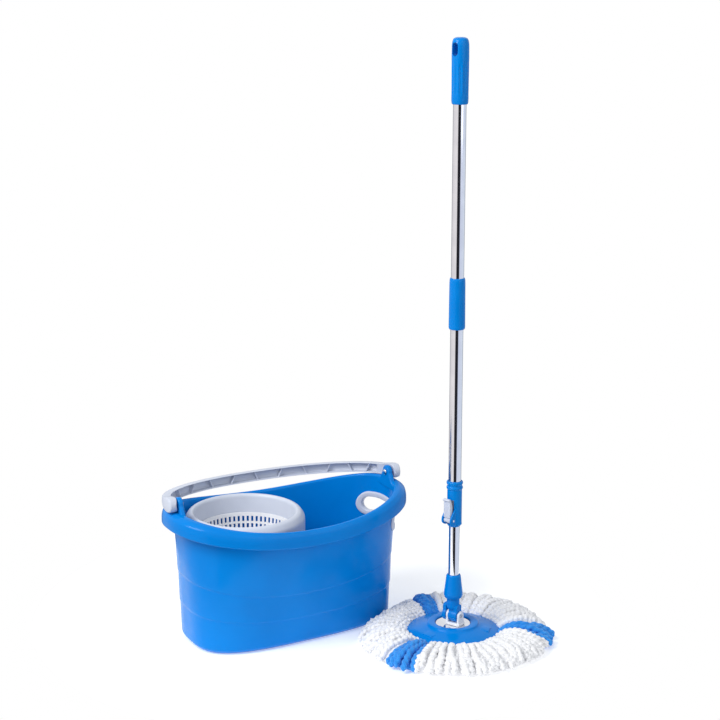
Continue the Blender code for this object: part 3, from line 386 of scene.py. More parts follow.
def build_worn_edges():
    """Where the surface is sharply convex, handling polishes and lightens it."""
    group, start, end = new_group("worn_edges", [("Amount", FLOAT, 0.4)], [("Mask", FLOAT)])
    point = node(group, "ShaderNodeNewGeometry").outputs["Pointiness"]
    place = node(group, "ShaderNodeTexCoord").outputs["Object"]
    patchy = node(group, "ShaderNodeTexNoise", {"Vector": place}, Scale=140.0, Detail=3.0)
    edge = ramp(group, point, 0.52, 0.60)
    broken = node(group, "ShaderNodeMath", {0: edge, 1: patchy.outputs["Fac"]},
                  operation="MULTIPLY")
    scaled = node(group, "ShaderNodeMath", {0: broken.outputs[0], 1: start.outputs["Amount"]},
                  operation="MULTIPLY")
    group.links.new(scaled.outputs[0], end.inputs["Mask"])
    return group


pigment, skin = build_pigment(), build_mould_skin()
scuffs, worn = build_scuffs(), build_worn_edges()
print("effects:", ", ".join(g.name for g in (pigment, skin, scuffs, worn)))

# %% [markdown]
# ## Finishes
# Three moulded plastics, one polished steel and two chenille yarns.  The plastics share one
# recipe and differ in pigment and gloss.


# %% Moulded plastics
def new_material(name):
    """A material, its node tree and its Principled shader."""
    made = bpy.data.materials.new(name)
    made.use_nodes = True
    return made, made.node_tree, made.node_tree.nodes["Principled BSDF"]


def place_group(tree, group, **values):
    """One of the shared effects, with this material's own values."""
    made = node(tree, "ShaderNodeGroup", node_tree=group)
    for key, value in values.items():
        made.inputs[key].default_value = value
    return made


def moulded(name, light, dark, worn_color, smooth, dull, gloss=0.5, grain=900.0, bump=0.00001,
            scuffed=0.12):
    """Pigment clouds for colour, mould skin for gloss and bump, scuffs and worn edges on top."""
    mat, tree, shader = new_material(name)
    clouds = place_group(tree, pigment, Light=(*light, 1), Dark=(*dark, 1), Scale=9.0)
    surface = place_group(tree, skin, Grain=grain, Smooth=smooth, Dull=dull)
    marks = place_group(tree, scuffs, Amount=scuffed, Scale=26.0)
    edges = place_group(tree, worn, Amount=0.5)
    lighter = mixed(tree, edges.outputs["Mask"], clouds.outputs["Color"], (*worn_color, 1))
    rough = scuffed_roughness(tree, marks, surface, 0.30)
    relief = node(tree, "ShaderNodeBump", {"Height": surface.outputs["Height"]}, Strength=0.35,
                  Distance=bump)
    shader.inputs["Specular IOR Level"].default_value = gloss
    tree.links.new(lighter, shader.inputs["Base Color"])
    tree.links.new(rough, shader.inputs["Roughness"])
    tree.links.new(relief.outputs[0], shader.inputs["Normal"])
    return mat


blue = moulded("moulded_blue", (0.0, 0.225, 0.70), (0.0, 0.195, 0.63), (0.0, 0.32, 0.80),
               0.16, 0.24, gloss=0.13)
grey = moulded("moulded_grey", (0.61, 0.65, 0.75), (0.55, 0.59, 0.69), (0.76, 0.79, 0.86),
               0.34, 0.46)
white = moulded("moulded_white", (0.86, 0.87, 0.90), (0.78, 0.80, 0.84), (0.93, 0.93, 0.95),
                0.32, 0.45)


# %% Polished steel
def polished(name):
    """Mirror-like drawn tube: faint lengthwise draw lines and clouds in the polish."""
    mat, tree, shader = new_material(name)
    shader.inputs["Metallic"].default_value = 1.0
    place = node(tree, "ShaderNodeTexCoord").outputs["Object"]
    stretch = node(tree, "ShaderNodeMapping", {"Vector": place})
    stretch.inputs["Scale"].default_value = (1400.0, 1400.0, 6.0)
    lines = node(tree, "ShaderNodeTexNoise", {"Vector": stretch.outputs[0]}, Scale=1.0, Detail=2.0)
    surface = place_group(tree, skin, Grain=500.0, Smooth=0.05, Dull=0.12)
    marks = place_group(tree, scuffs, Amount=0.25, Scale=22.0)
    clouds = place_group(tree, pigment, Light=(0.80, 0.80, 0.82, 1), Dark=(0.70, 0.70, 0.73, 1),
                         Scale=30.0)
    rough = scuffed_roughness(tree, marks, surface, 0.20)
    relief = node(tree, "ShaderNodeBump", {"Height": lines.outputs["Fac"]}, Strength=0.05,
                  Distance=0.00001)
    tree.links.new(clouds.outputs["Color"], shader.inputs["Base Color"])
    tree.links.new(rough, shader.inputs["Roughness"])
    tree.links.new(relief.outputs[0], shader.inputs["Normal"])
    return mat


steel = polished("drawn_steel")


# %% Chenille yarn
def chenille(name, light, dark, sheen_color):
    """Soft tufts: cell noise for the tuft heads, painted shade in their hollows, fibre noise, and
    sheen.
    """
    mat, tree, shader = new_material(name)
    shader.inputs["Roughness"].default_value = 0.95
    shader.inputs["Sheen Weight"].default_value = 0.6
    shader.inputs["Sheen Roughness"].default_value = 0.5
    shader.inputs["Sheen Tint"].default_value = (*sheen_color, 1)
    shader.inputs["Specular IOR Level"].default_value = 0.15
    place = node(tree, "ShaderNodeTexCoord").outputs["Object"]
    tufts = node(tree, "ShaderNodeTexVoronoi", {"Vector": place}, Scale=420.0)
    fibres = node(tree, "ShaderNodeTexNoise", {"Vector": place}, Scale=1500.0, Detail=2.0)
    clouds = place_group(tree, pigment, Light=(*light, 1), Dark=(*dark, 1), Scale=60.0)
    # Painted shade: the colour falls to 0.9 of the dark batch in the hollows between the tuft heads.
    tuft_shade_mask = ramp(tree, tufts.outputs["Distance"], 0.25, 0.95)
    tuft_shaded_color = mixed(tree, tuft_shade_mask, clouds.outputs["Color"], (*[0.90 * c for c in dark], 1))
    height = node(tree, "ShaderNodeMath", {0: fibres.outputs["Fac"],
                                           2: tufts.outputs["Distance"]},
                  operation="MULTIPLY_ADD")
    height.inputs[1].default_value = -0.5
    relief = node(tree, "ShaderNodeBump", {"Height": height.outputs[0]}, Strength=0.6,
                  Distance=0.0008, invert=True)
    tree.links.new(tuft_shaded_color, shader.inputs["Base Color"])
    tree.links.new(relief.outputs[0], shader.inputs["Normal"])
    return mat


white_yarn = chenille("white_chenille", (0.97, 0.97, 0.98), (0.94, 0.94, 0.96), (1.0, 1.0, 1.0))
blue_yarn = chenille("blue_chenille", (0.06, 0.36, 0.88), (0.02, 0.25, 0.76), (0.5, 0.7, 1.0))
finishes = {"blue_plastic": blue, "grey_plastic": grey, "white_plastic": white,
            "polished_steel": steel, "white_yarn": white_yarn, "blue_yarn": blue_yarn}
print("finishes:", ", ".join(finishes))

# %% Give every carried-over node its finish
for part in frame["record"]["subparts"]:
    carried = frame["nodes"][part["node"]]
    for place_in in carried.material_slots:
        place_in.material = finishes[part["material_slot"]]

# %% [markdown]
# ## The bucket
# Its plan is a rounded oval that gets rounder, wider and less tapered as it climbs, and every
# level line lifts towards the two ends, which gives the saddle-shaped rim.  One formula places
# any point of the wall, so the outside, the lip and the inside are one closed grid, and the
# hand hole is cut afterwards.

# %% The wall formula
base_a, base_b, base_n = 0.1900, 0.0910, 3.1
rim_a, rim_b, rim_n = 0.2042, 0.1190, 2.35
base_taper, rim_taper = 0.125, 0.03
bucket_height, rim_rise = 0.2190, 0.0270
wall, foot_radius, floor_thickness = 0.0028, 0.0080, 0.0030
step_heights, step_rise, step_depth = (0.052, 0.098), (0.015, 0.027), 0.0010
lip_a, lip_b, lip_drop = 0.0215, 0.0095, 0.0280


def oval(t, a, b, n, taper):
    """|x/a|^n + |y/b|^n = 1 at the angle t, with y narrowed by (1 - taper x/a)."""
    c, s = np.cos(t), np.sin(t)
    m = (np.abs(c) ** n + np.abs(s) ** n) ** (1.0 / n)
    x = a * c / m
    return x, b * s / m * (1.0 - taper * x / a)


def wall_point(t, height, inset=0.0, grow_a=0.0, grow_b=0.0, drop=0.0):
    """Point of the wall: every driving value runs straight from the foot to the rim, and the
    level lifts by rise (x/a)^2."""
    share = height / bucket_height
    a = base_a + (rim_a - base_a) * share - inset + grow_a
    b = base_b + (rim_b - base_b) * share - inset + grow_b
    x, y = oval(t, a, b, base_n + (rim_n - base_n) * share,
                base_taper + (rim_taper - base_taper) * share)
    rise = np.interp(height, (0.010, *step_heights, bucket_height), (0.0, *step_rise, rim_rise))
    return np.stack([x, y, height + rise * (x / a) ** 2 - drop], axis=-1)


# %% The shell
def bucket_section():
    """Rows of (height, inset, growth a, growth b, drop) round the wall's section."""
    low, high = step_heights
    half, ledge = 0.5 * step_depth, 0.0012
    rows = [(0.0, 0.55 * base_b, 0, 0, 0), (0.0, foot_radius, 0, 0, 0), (foot_radius, 0, 0, 0, 0),
            (low, half, 0, 0, 0), (low + ledge, -half, 0, 0, 0),
            (high, half, 0, 0, 0), (high + ledge, -half, 0, 0, 0)]
    lip = [(0.0, 0.0, 0.0085), (0.84, 0.60, 0.0165), (0.88, 0.72, lip_drop), (1.0, 1.0, lip_drop),
           (0.995, 0.99, 0.0155), (0.90, 0.80, 0.0065), (0.45, 0.38, 0.0004), (0.0, 0.0, 0.0)]
    rows += [(bucket_height, 0, lip_a * a, lip_b * b, drop) for a, b, drop in lip]
    rows += [(bucket_height, wall, 0, 0, 0.0020), (high, wall, 0, 0, 0), (low, wall, 0, 0, 0),
             (foot_radius, wall, 0, 0, 0), (floor_thickness, wall + 0.0060, 0, 0, 0),
             (floor_thickness, 0.55 * base_b, 0, 0, 0)]
    return rows


def bucket_solid(columns=360):
    """The section's rows, rounded and filled, at every angle; two flat faces close the floor."""
    section = filled(rounded(bucket_section(), 0.0030, 5), 0.0050)
    start = np.argmin(np.abs(section[:, 0]) + np.abs(section[:, 1] - 0.55 * base_b))
    section = np.roll(section, -start, axis=0)
    angle = np.linspace(0.0, 2.0 * np.pi, columns, endpoint=False)[None]
    height, inset, grow_a, grow_b, drop = (section[:, k, None] for k in range(5))
    return capped(wall_point(angle, height, inset, grow_a, grow_b, drop))


bucket = put("bucket", bucket_solid(), blue, "bucket", ["bucket_shell"], smooth=50.0)

# %% The hand hole and its ring
hole_half_width, hole_half_height = 0.0635, 0.0165
hole_level = bucket_height - 0.0560


def hole_line(grow=0.0, arc_steps=24, run_steps=24):
    """Long hole with round ends as (along, up): two half circles and the straights between."""
    center, radius = hole_half_width - hole_half_height, hole_half_height + grow
    right = circle(center, 0.0, radius, -90.0, 90.0, arc_steps)
    left = circle(-center, 0.0, radius, 90.0, 270.0, arc_steps)
    run = np.linspace(center, -center, run_steps + 2)[1:-1]
    top = np.stack([run, 0.0 * run + radius], axis=1)
    bottom = np.stack([-run, 0.0 * run - radius], axis=1)
    return np.concatenate([right, top, left, bottom])


def end_wall_point(along, up, out):
    """Point near the end wall; `out` is measured from the middle of the wall's thickness."""
    reach = base_b + (rim_b - base_b) * hole_level / bucket_height
    return wall_point(along / reach, hole_level + up, inset=wall / 2.0 - out)


def hole_bar(depth=0.008, stations=41):
    """A bent bar through the wall: at each station along, a four-cornered upright section."""
    radius, center = hole_half_height, hole_half_width - hole_half_height
    along = (center + 0.998 * radius) * np.sin(np.linspace(-np.pi / 2, np.pi / 2, stations))
    over = np.clip(np.abs(along) - center, 0.0, None)
    half = np.sqrt(radius ** 2 - over ** 2)
    corners = [(-1, -depth), (1, -depth), (1, depth), (-1, depth)]
    points = np.stack([end_wall_point(along, side * half, out) for side, out in corners], axis=1)
    return capped(points)


cut(bucket, hole_bar(), smooth=50.0)


def grommet_solid():
    """A round-lipped section in (growth of the hole, way out of the wall) along the hole."""
    near, far = wall / 2.0 + 0.0002, wall / 2.0 + 0.0034
    corners = [(-0.0035, far * 0.30), (-0.0030, far), (0.0052, far), (0.0074, near), (0.0, near),
               (0.0, -near), (0.0074, -near), (0.0052, -far), (-0.0030, -far),
               (-0.0035, -far * 0.30)]
    section = rounded(corners, 0.0030, 6)
    rows = [end_wall_point(*(hole_line(grow).T), out) for grow, out in section]
    return grid(np.stack(rows), wrap_rows=True)


put("hand_hole_ring", grommet_solid(), grey, "bucket", ["hand_hole_grommet"], smooth=60.0)

# %% [markdown]
# ## Lugs of the carrying handle
# Each end of the rim swells into a round-topped tab.  Its outline is a circle that runs out into
# two hollow flanks, and the plate's edges are rounded, so it melts into the rim.

# %% Lugs and their pins
lug_inner, lug_thickness, lug_radius = rim_a - 0.0057, 0.0085, 0.0120


def lug_outline():
    """(y, z) of the tab: z falls from the round top like 1 / (1 + (y/w)^2.2) to the rim."""
    crest = bucket_height + rim_rise - 0.006
    reach = np.linspace(0.0, 0.040, 26)[1:]
    top = circle(0.0, pivot_z, lug_radius, 4.0, 176.0, 40)
    side_y = lug_radius + reach
    shoulder = (pivot_z - crest) / (1.0 + (reach / 0.0075) ** 2.2) + crest - 0.0022
    right = np.stack([side_y, shoulder], axis=1)[::-1]
    left = right[::-1] * (-1.0, 1.0)
    foot = np.array([[-0.052, crest - 0.010], [0.052, crest - 0.010]])
    return np.concatenate([right, top, left, foot])


def lug_solid(side):
    def place(u, v, w):
        return np.stack([side * w, u, v], axis=-1)
    return slab(lug_outline(), lug_inner - 0.0008, lug_inner + lug_thickness, 0.0030, place, 6)


for side, label in ((-1.0, "left"), (1.0, "right")):
    put(f"bail_lug_{label}", lug_solid(side), blue, "bucket", smooth=60.0)
    head = rod([(0.0001, -0.0025), (0.0040, -0.0022), (0.0052, -0.0012), (0.0052, 0.0),
                (0.0030, 0.0), (0.0030, 0.0198)], (0.0, 0.0))
    along = head[0] + (0.0, 0.0, lug_inner - 0.0010)
    put(f"bail_pin_{label}_fine",
        (np.stack([side * along[:, 2], along[:, 1], pivot_z + along[:, 0]], axis=1), head[1]),
        steel, "bucket", [f"bail_pin_{label}"])

# %% [markdown]
# ## The carrying handle
# A moulded bow that is smooth where the hand holds it and hollow towards the inside of its loop,
# with cross ribs in the hollow and two solid, round ends that turn on the pins.  The channel's
# section is carried along an oval arch, and its depth runs out where the ends are solid.

# %% The bow
bail_thickness, bail_reach, bail_oval_n, bail_boss = 0.0165, 0.1370, 2.2, 0.0130
bail_half_height, bail_web = 0.00925, 0.0016
bail_droop = math.radians(7.0)
bail_arm_x = lug_inner + lug_thickness + 0.0015 + bail_thickness / 2.0


def drooped(points):
    """Points drawn about the pivot, turned down about X and lifted to the pivot's height."""
    c, s = math.cos(-bail_droop), math.sin(-bail_droop)
    x, y, z = points[..., 0], points[..., 1], points[..., 2]
    return np.stack([x, c * y - s * z, pivot_z + s * y + c * z], axis=-1)


def bow_line(t):
    """Oval arch (x, y) at the angle t, straight behind the pivot for the round ends."""
    x, y = oval(np.clip(t, 0.0, np.pi), bail_arm_x, bail_reach, bail_oval_n, 0.0)
    behind = np.where(t < 0, t, np.where(t > np.pi, np.pi - t, 0.0))
    return x, y + behind


def bow_solid(stations=300, steps=6):
    """Channel open to the inside of the bow; half height and depth blend from end to middle."""
    end = -bail_boss * np.sin(np.linspace(np.pi / 2 * 0.985, 0.0, 18, endpoint=False))
    t = np.concatenate([end, np.linspace(0.0, np.pi, stations), np.pi - end[::-1]])
    x, y = bow_line(t)
    tangent = np.stack([np.gradient(x), np.gradient(y)], axis=1)
    tangent /= np.linalg.norm(tangent, axis=1, keepdims=True)
    out = np.stack([tangent[:, 1], -tangent[:, 0]], axis=1)
    along = np.minimum(np.clip(t, 0, np.pi), np.pi - np.clip(t, 0, np.pi)) / np.pi
    half = np.interp(along, (0.0, 0.02, 0.08), (bail_boss, bail_boss, bail_half_height))
    behind = np.clip(np.maximum(-t, t - np.pi), 0.0, bail_boss)
    roundness = np.sqrt(1.0 - (behind / bail_boss) ** 2)
    half = half * roundness
    width = bail_thickness / 2.0 * (0.45 + 0.55 * roundness)
    depth = np.interp(along, (0.100, 0.125), (0.0004, bail_thickness - 1.6 * bail_web))
    depth = np.minimum(depth, 1.2 * width)
    inner = half - np.minimum(bail_web, 0.3 * half)
    corners = np.stack([
        np.stack([width * 0.86, -half * 0.96], 1), np.stack([width, 0.0 * half], 1),
        np.stack([width * 0.86, half * 0.96], 1), np.stack([0.0 * width, half], 1),
        np.stack([-width, half * 0.97], 1), np.stack([-width, inner * 0.97], 1),
        np.stack([depth - width, inner * 0.84], 1), np.stack([depth - width, -inner * 0.84], 1),
        np.stack([-width, -inner * 0.97], 1), np.stack([-width, -half * 0.97], 1),
        np.stack([0.0 * width, -half], 1)], axis=1)
    section = rounded(corners, 0.0022, steps)
    points = np.stack([x[:, None] + out[:, :1] * section[..., 0],
                       y[:, None] + out[:, 1:] * section[..., 0], section[..., 1]], axis=-1)
    return capped(drooped(points))


def rib_solids(count=11):
    """Thin slanted cross plates in the channel, evenly spread over the arch."""
    solids = []
    for at, t in enumerate(np.linspace(0.15 * np.pi, 0.85 * np.pi, count)):
        x, y = (float(value) for value in bow_line(np.array(t)))
        ahead = np.array(bow_line(np.array(t + 0.001))) - np.array([x, y])
        yaw = math.atan2(ahead[1], ahead[0])
        lean = math.radians(26.0) * (1 if at % 2 else -1)
        front, back = -bail_thickness / 2.0 + 0.0016, bail_thickness / 2.0 - bail_web
        top = bail_half_height - 0.8 * bail_web
        plate = rounded([(front, -top), (back, -top), (back, top), (front, top)], 0.0006, 4)
        c, s = math.cos(yaw), math.sin(yaw)

        def place(u, v, w, x=x, y=y, c=c, s=s, lean=lean):
            shifted = w + v * math.tan(lean)
            return drooped(np.stack([x + c * shifted + s * u, y + s * shifted - c * u, v], -1))
        solids.append(slab(plate, -0.0008, 0.0008, 0.0004, place, 3))
    return joined(*solids)


put("carrying_handle", bow_solid(), grey, "bail", ["bail_handle"], smooth=60.0)
put("carrying_handle_ribs", rib_solids(), grey, "bail")

# %% [markdown]
# ## The basket
# A tall grey collar keeps the splashes in, and a white bowl hangs in it from a flange.  The
# bowl's wall and floor have slots, so it is laid out as a grid of cells: an open cell leaves out
# its two faces and gets four side walls in their place.

# %% The collar, the slotted bowl and the hub
collar_low, collar_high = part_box("splash_collar")
collar_r = 0.5 * (collar_high[0] - collar_low[0])
collar_top, collar_bottom = collar_high[2], collar_low[2]
throat_r, throat_z = collar_r - 0.0210, collar_top - 0.0335
bowl_depth, bowl_wall, slots = 0.0760, 0.0020, 64
floor_z, floor_r = throat_z - bowl_depth, throat_r - 0.0160
hub_r = 0.0160
collar = [(throat_r, throat_z), (throat_r + 0.0036, collar_top - 0.0040),
          (throat_r + 0.0072, collar_top), (collar_r - 0.0068, collar_top - 0.0026),
          (collar_r - 0.0004, collar_top - 0.0120), (collar_r, collar_top - 0.0200),
          (collar_r, collar_bottom), (collar_r - 0.0020, collar_bottom),
          (collar_r - 0.0020, collar_top - 0.0200), (collar_r - 0.0034, collar_top - 0.0120),
          (collar_r - 0.0088, collar_top - 0.0048), (throat_r + 0.0078, collar_top - 0.0030),
          (throat_r + 0.0020, throat_z)]
put("splash_collar_fine", turned(filled(rounded(collar, 0.0036, 7), 0.006), (basket_x, 0.0), 192),
    grey, "basket", ["splash_collar"], smooth=50.0)


def bowl_solid():
    """Rows of (r, z) inside and outside, at four columns a slot; two of the four are open."""
    def radius(z):
        return np.interp(z, (floor_z, throat_z), (floor_r + 0.0075, throat_r - 0.0010))

    flange = collar_r - 0.0030
    wall_z = np.array([throat_z - 0.0035, throat_z - 0.0065, throat_z - 0.0165, throat_z - 0.0200,
                       throat_z - 0.0300, throat_z - 0.0330, floor_z + 0.0430, floor_z + 0.0400,
                       floor_z + 0.0300, floor_z + 0.0270, floor_z + 0.0170, floor_z + 0.0080])
    floor_radii = np.array([0.060, 0.054, 0.042, 0.038, 0.027, hub_r])
    inside = [(flange, throat_z), (radius(throat_z), throat_z)]
    outside = [(flange, throat_z - bowl_wall), (radius(throat_z) + bowl_wall,
                                                 throat_z - 2.0 * bowl_wall)]
    inside += [(radius(z), z) for z in wall_z]
    outside += [(radius(z) + bowl_wall, z) for z in wall_z]
    inside += [(floor_r + 0.0058, floor_z + 0.0030), (floor_r + 0.0020, floor_z + 0.0006),
               (floor_r, floor_z)]
    outside += [(floor_r + 0.0074, floor_z + 0.0014), (floor_r + 0.0030, floor_z - 0.0016),
                (floor_r + 0.0006, floor_z - bowl_wall)]
    inside += [(r, floor_z) for r in floor_radii]
    outside += [(r, floor_z - bowl_wall) for r in floor_radii]
    inside, outside = np.array(inside), np.array(outside)
    open_rows = (3, 5, 7, 9, 11, 12, 18, 20)
    sides = 4 * slots
    a = 2.0 * np.pi * np.arange(sides) / sides

    def ring(rows):
        return np.stack([basket_x + rows[:, :1] * np.cos(a), rows[:, :1] * np.sin(a),
                         rows[:, 1:] + 0.0 * a], axis=-1)

    points = np.stack([ring(inside), ring(outside)])
    index = np.arange(points[..., 0].size).reshape(points.shape[:-1])
    cells = len(inside) - 1
    is_open = np.zeros((cells, sides), dtype=bool)
    for row_at in open_rows:
        is_open[row_at] = np.arange(sides) % 4 < 2
    top, under = index
    right_top, right_under = np.roll(top, -1, axis=1), np.roll(under, -1, axis=1)
    closed = ~is_open
    gone = np.ones((1, sides), dtype=bool)
    below, above = np.concatenate([is_open[1:], gone]), np.concatenate([gone, is_open[:-1]])
    after, before = np.roll(is_open, -1, axis=1), np.roll(is_open, 1, axis=1)
    t0, t1, r0, r1 = top[:-1], top[1:], right_top[:-1], right_top[1:]
    u0, u1, v0, v1 = under[:-1], under[1:], right_under[:-1], right_under[1:]
    parts = [np.stack(corners, -1)[where] for corners, where in (
        ((t0, r0, r1, t1), closed), ((u1, v1, v0, u0), closed),
        ((r0, r1, v1, v0), closed & after), ((t0, t1, u1, u0), closed & before),
        ((t1, r1, v1, u1), closed & below), ((t0, r0, v0, u0), closed & above))]
    return points.reshape(-1, 3), np.concatenate(parts).tolist()


put("slotted_bowl", bowl_solid(), white, "basket", ["basket_bowl"], smooth=30.0)
hub_bottom, hub_top = (corner[2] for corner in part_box("basket_hub"))
bush_r = outer_radius("hub_bush") + 0.0003
pin_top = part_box("spindle_pin")[1][2] + 0.0003
hub = [(bush_r, hub_bottom), (hub_r - 0.0010, hub_bottom), (hub_r - 0.0004, floor_z - bowl_wall),
       (hub_r - 0.0004, floor_z + 0.0003), (hub_r + 0.0100, floor_z + 0.0003),
       (hub_r + 0.0095, floor_z + 0.0028), (hub_r - 0.0020, floor_z + 0.0085),
       (hub_r - 0.0050, hub_top - 0.0020), (hub_r - 0.0075, hub_top), (0.0008, hub_top),
       (0.0008, pin_top), (bush_r, pin_top)]
put("basket_hub_fine", turned(rounded(hub, 0.0012, 5), (basket_x, 0.0), 96), white, "basket",
    ["basket_hub"], smooth=50.0)
post_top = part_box("spindle_post")[1][2]
pin_r = outer_radius("spindle_pin")
post = [(pin_r + 0.0003, post_top - 0.030), (pin_r + 0.0003, post_top), (pin_r + 0.0068, post_top),
        (pin_r + 0.0093, 0.0235), (0.0300, 0.0068), (0.0300, 0.0033), (0.0008, 0.0033),
        (0.0008, post_top - 0.030)]
put("spindle_post_fine", turned(rounded(post, 0.0025, 6), (basket_x, 0.0), 96), blue, "bucket",
    ["spindle_post"], smooth=50.0)

# %% [markdown]
# ## The mop's plate and its tilting joint
# Under the pole is a shallow dome with a raised collar; a steel dish lies in the collar and a
# white foot stands on it.  The foot has a round ear inside the fork and a pointed one in front,
# and a hollow pin goes through them all.

# %% Plate, dish and foot
mop = (mop_x, mop_y)
plate_low, plate_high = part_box("mop_plate")
plate_r, plate_edge = 0.5 * (plate_high[0] - plate_low[0]), plate_low[2]
dish_r = outer_radius("dish_trim")
plate_floor = plate_high[2] - 0.0058
ring_r = dish_r + 0.0145
slope_r = 0.5 * (plate_r + ring_r)
screw_r = 0.0029
plate = [(plate_r, plate_edge), (plate_r, plate_edge + 0.0044), (plate_r - 0.0045, plate_edge
         + 0.0062), (slope_r, plate_edge + 0.0118), (ring_r + 0.0046, plate_floor + 0.0008),
         (ring_r + 0.0010, plate_floor + 0.0022), (ring_r - 0.0006, plate_floor + 0.0058),
         (dish_r + 0.0038, plate_floor + 0.0058), (dish_r + 0.0010, plate_floor + 0.0050),
         (dish_r + 0.0006, plate_floor), (screw_r, plate_floor), (screw_r, plate_floor - 0.0028),
         (dish_r + 0.0032, plate_floor - 0.0028), (ring_r + 0.0012, plate_floor - 0.0014),
         (slope_r, plate_edge + 0.0088), (plate_r - 0.0060, plate_edge + 0.0034),
         (plate_r - 0.0035, plate_edge)]
put("mop_plate_fine", turned(filled(rounded(plate, 0.0030, 6), 0.005), mop, 192), blue,
    "mop_head", ["mop_plate"], smooth=60.0)


def plate_tabs():
    """Three low pads on the dome, where the cord ring's clips reach through."""
    solids = []
    for turn in (-70.0, 50.0, 170.0):
        angle = tilt_yaw + math.radians(turn)
        tab = rounded([(-0.0075, -0.0016), (0.0075, -0.0040), (0.0075, 0.0006),
                       (-0.0075, 0.0030)], 0.0016, 6)
        place = in_frame(angle, mop_x + 0.059 * math.cos(angle), mop_y + 0.059 * math.sin(angle),
                         plate_edge + 0.0122)
        solids.append(slab(tab, -0.011, 0.011, 0.0012, place, 5))
    return joined(*solids)


put("plate_tabs", plate_tabs(), blue, "mop_head", smooth=60.0)
dish_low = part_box("dish_trim")[0][2]
dish = [(0.0062, dish_low), (0.80 * dish_r, dish_low), (dish_r, dish_low + 0.0018),
        (dish_r, dish_low + 0.0026), (0.80 * dish_r - 0.0002, dish_low + 0.0008),
        (0.0062, dish_low + 0.0008)]
put("dish_fine", turned(filled(rounded(dish, 0.0015, 6), 0.004), mop, 144), steel, "mop_head",
    ["dish_trim"], smooth=60.0)

foot_base, foot_top = dish_low + 0.0011, tilt_z - 0.0120
ear_height, half_foot = 0.0095, 0.0098
ear_slot_low, ear_slot_high = 0.0042, 0.0093
fork_front, fork_back = -0.0125, 0.0165
ear_play, ear_thickness = 0.0004, 0.0042
ear_front_low = fork_front - ear_play - ear_thickness
joint_place = in_frame(tilt_yaw, mop_x, mop_y, 0.0)


def foot_solid():
    """Block with two ears, each a rounded slab; their outlines meet the block's top."""
    block = rounded([(-half_foot, foot_base), (half_foot, foot_base), (half_foot, foot_top),
                     (-half_foot, foot_top)], 0.0014, 5)
    round_ear = np.concatenate([circle(0.0, tilt_z, ear_height, -20.0, 200.0, 40),
                                [(-half_foot, foot_top - 0.001), (-half_foot, foot_base + 0.001),
                                 (half_foot, foot_base + 0.001), (half_foot, foot_top - 0.001)]])
    pointed = rounded([(half_foot, foot_base + 0.001), (0.0092, foot_top),
                       (0.0084, tilt_z + 0.0024), (0.0018, tilt_z + 0.0094),
                       (-0.0076, tilt_z + 0.0046), (-0.0084, foot_top),
                       (-half_foot, foot_base + 0.001)], 0.0020, 6)
    return joined(
        slab(block, ear_front_low - 0.0014, ear_slot_high - 0.0003, 0.0010, joint_place),
        slab(round_ear, ear_slot_low + 0.0003, ear_slot_high - 0.0003, 0.0006, joint_place),
        slab(pointed, ear_front_low, fork_front - ear_play, 0.0008, joint_place),
        rod([(0.0058, dish_low - 0.0030), (0.0056, foot_base + 0.001)], mop))


def along_joint(solid):
    """A solid made round Z, laid along the tilt joint's axis."""
    points, faces = solid
    return joint_place(points[:, 0], tilt_z + points[:, 1], points[:, 2]), faces


def pin_way(radius):
    """A bar along the tilt joint's axis, a hair wider than the hollow pin."""
    return along_joint(rod([(radius, -0.030), (radius, 0.030)], (0.0, 0.0), 48))


foot_bore_r, fork_bore_r = 0.0037, 0.0040
foot = put("swivel_foot_fine", foot_solid(), white, "mop_head", ["swivel_foot"], smooth=50.0)
cut(foot, pin_way(foot_bore_r), smooth=50.0, crossing=True)


def tube_across(outer, inner, low, high, edge=0.0005):
    """A tube along the tilt joint's axis, with rounded ends."""
    profile = rounded([(outer, low), (outer, high), (inner, high), (inner, low)], edge, 5)
    return along_joint(turned(profile, (0.0, 0.0), 64))


put("tilt_pin_fine", tube_across(0.0036, 0.0027, ear_front_low + 0.0024, fork_back - 0.0004),
    white, "mop_head", ["tilt_pin"], smooth=50.0)
neck_r, knuckle_r = 0.01125, 0.0115
neck_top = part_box("inner_tube")[0][2] - 0.0003


def fork_solid():
    """Two round cheeks, each with a short stem up to the neck that goes into the tube."""
    clear, stem = ear_height + 0.0009, 0.0080
    stem_top = tilt_z + clear + 0.0100
    cheek = np.concatenate([circle(0.0, tilt_z, knuckle_r, 138.0, 402.0, 64),
                            [(stem, tilt_z + 0.0098), (stem, stem_top - 0.0030),
                             (0.5 * stem, stem_top), (-0.5 * stem, stem_top),
                             (-stem, stem_top - 0.0030), (-stem, tilt_z + 0.0098)]])
    neck_low = tilt_z + clear + 0.0012
    neck = rod(rounded([(0.0003, neck_low), (neck_r - 0.0012, neck_low),
                        (neck_r, neck_low + 0.0040), (neck_r, neck_top), (0.0003, neck_top)],
                       0.0012, 5)[4:-4], mop, 64)
    return joined(slab(cheek, fork_front, ear_slot_low, 0.0012, joint_place, 6),
                  slab(cheek, ear_slot_high, fork_back, 0.0012, joint_place, 6), neck)


fork = put("tilt_fork_fine", fork_solid(), blue, "lower_pole", ["tilt_fork"], smooth=50.0)
cut(fork, pin_way(fork_bore_r), smooth=50.0, crossing=True)

# %% [markdown]
# ## The pole
# Two steel tubes slide in each other.  The lower one ends in a flared sleeve, the upper pair is
# joined by a ribless sleeve and closed by the grip, and the cam latch clamps the two tubes.

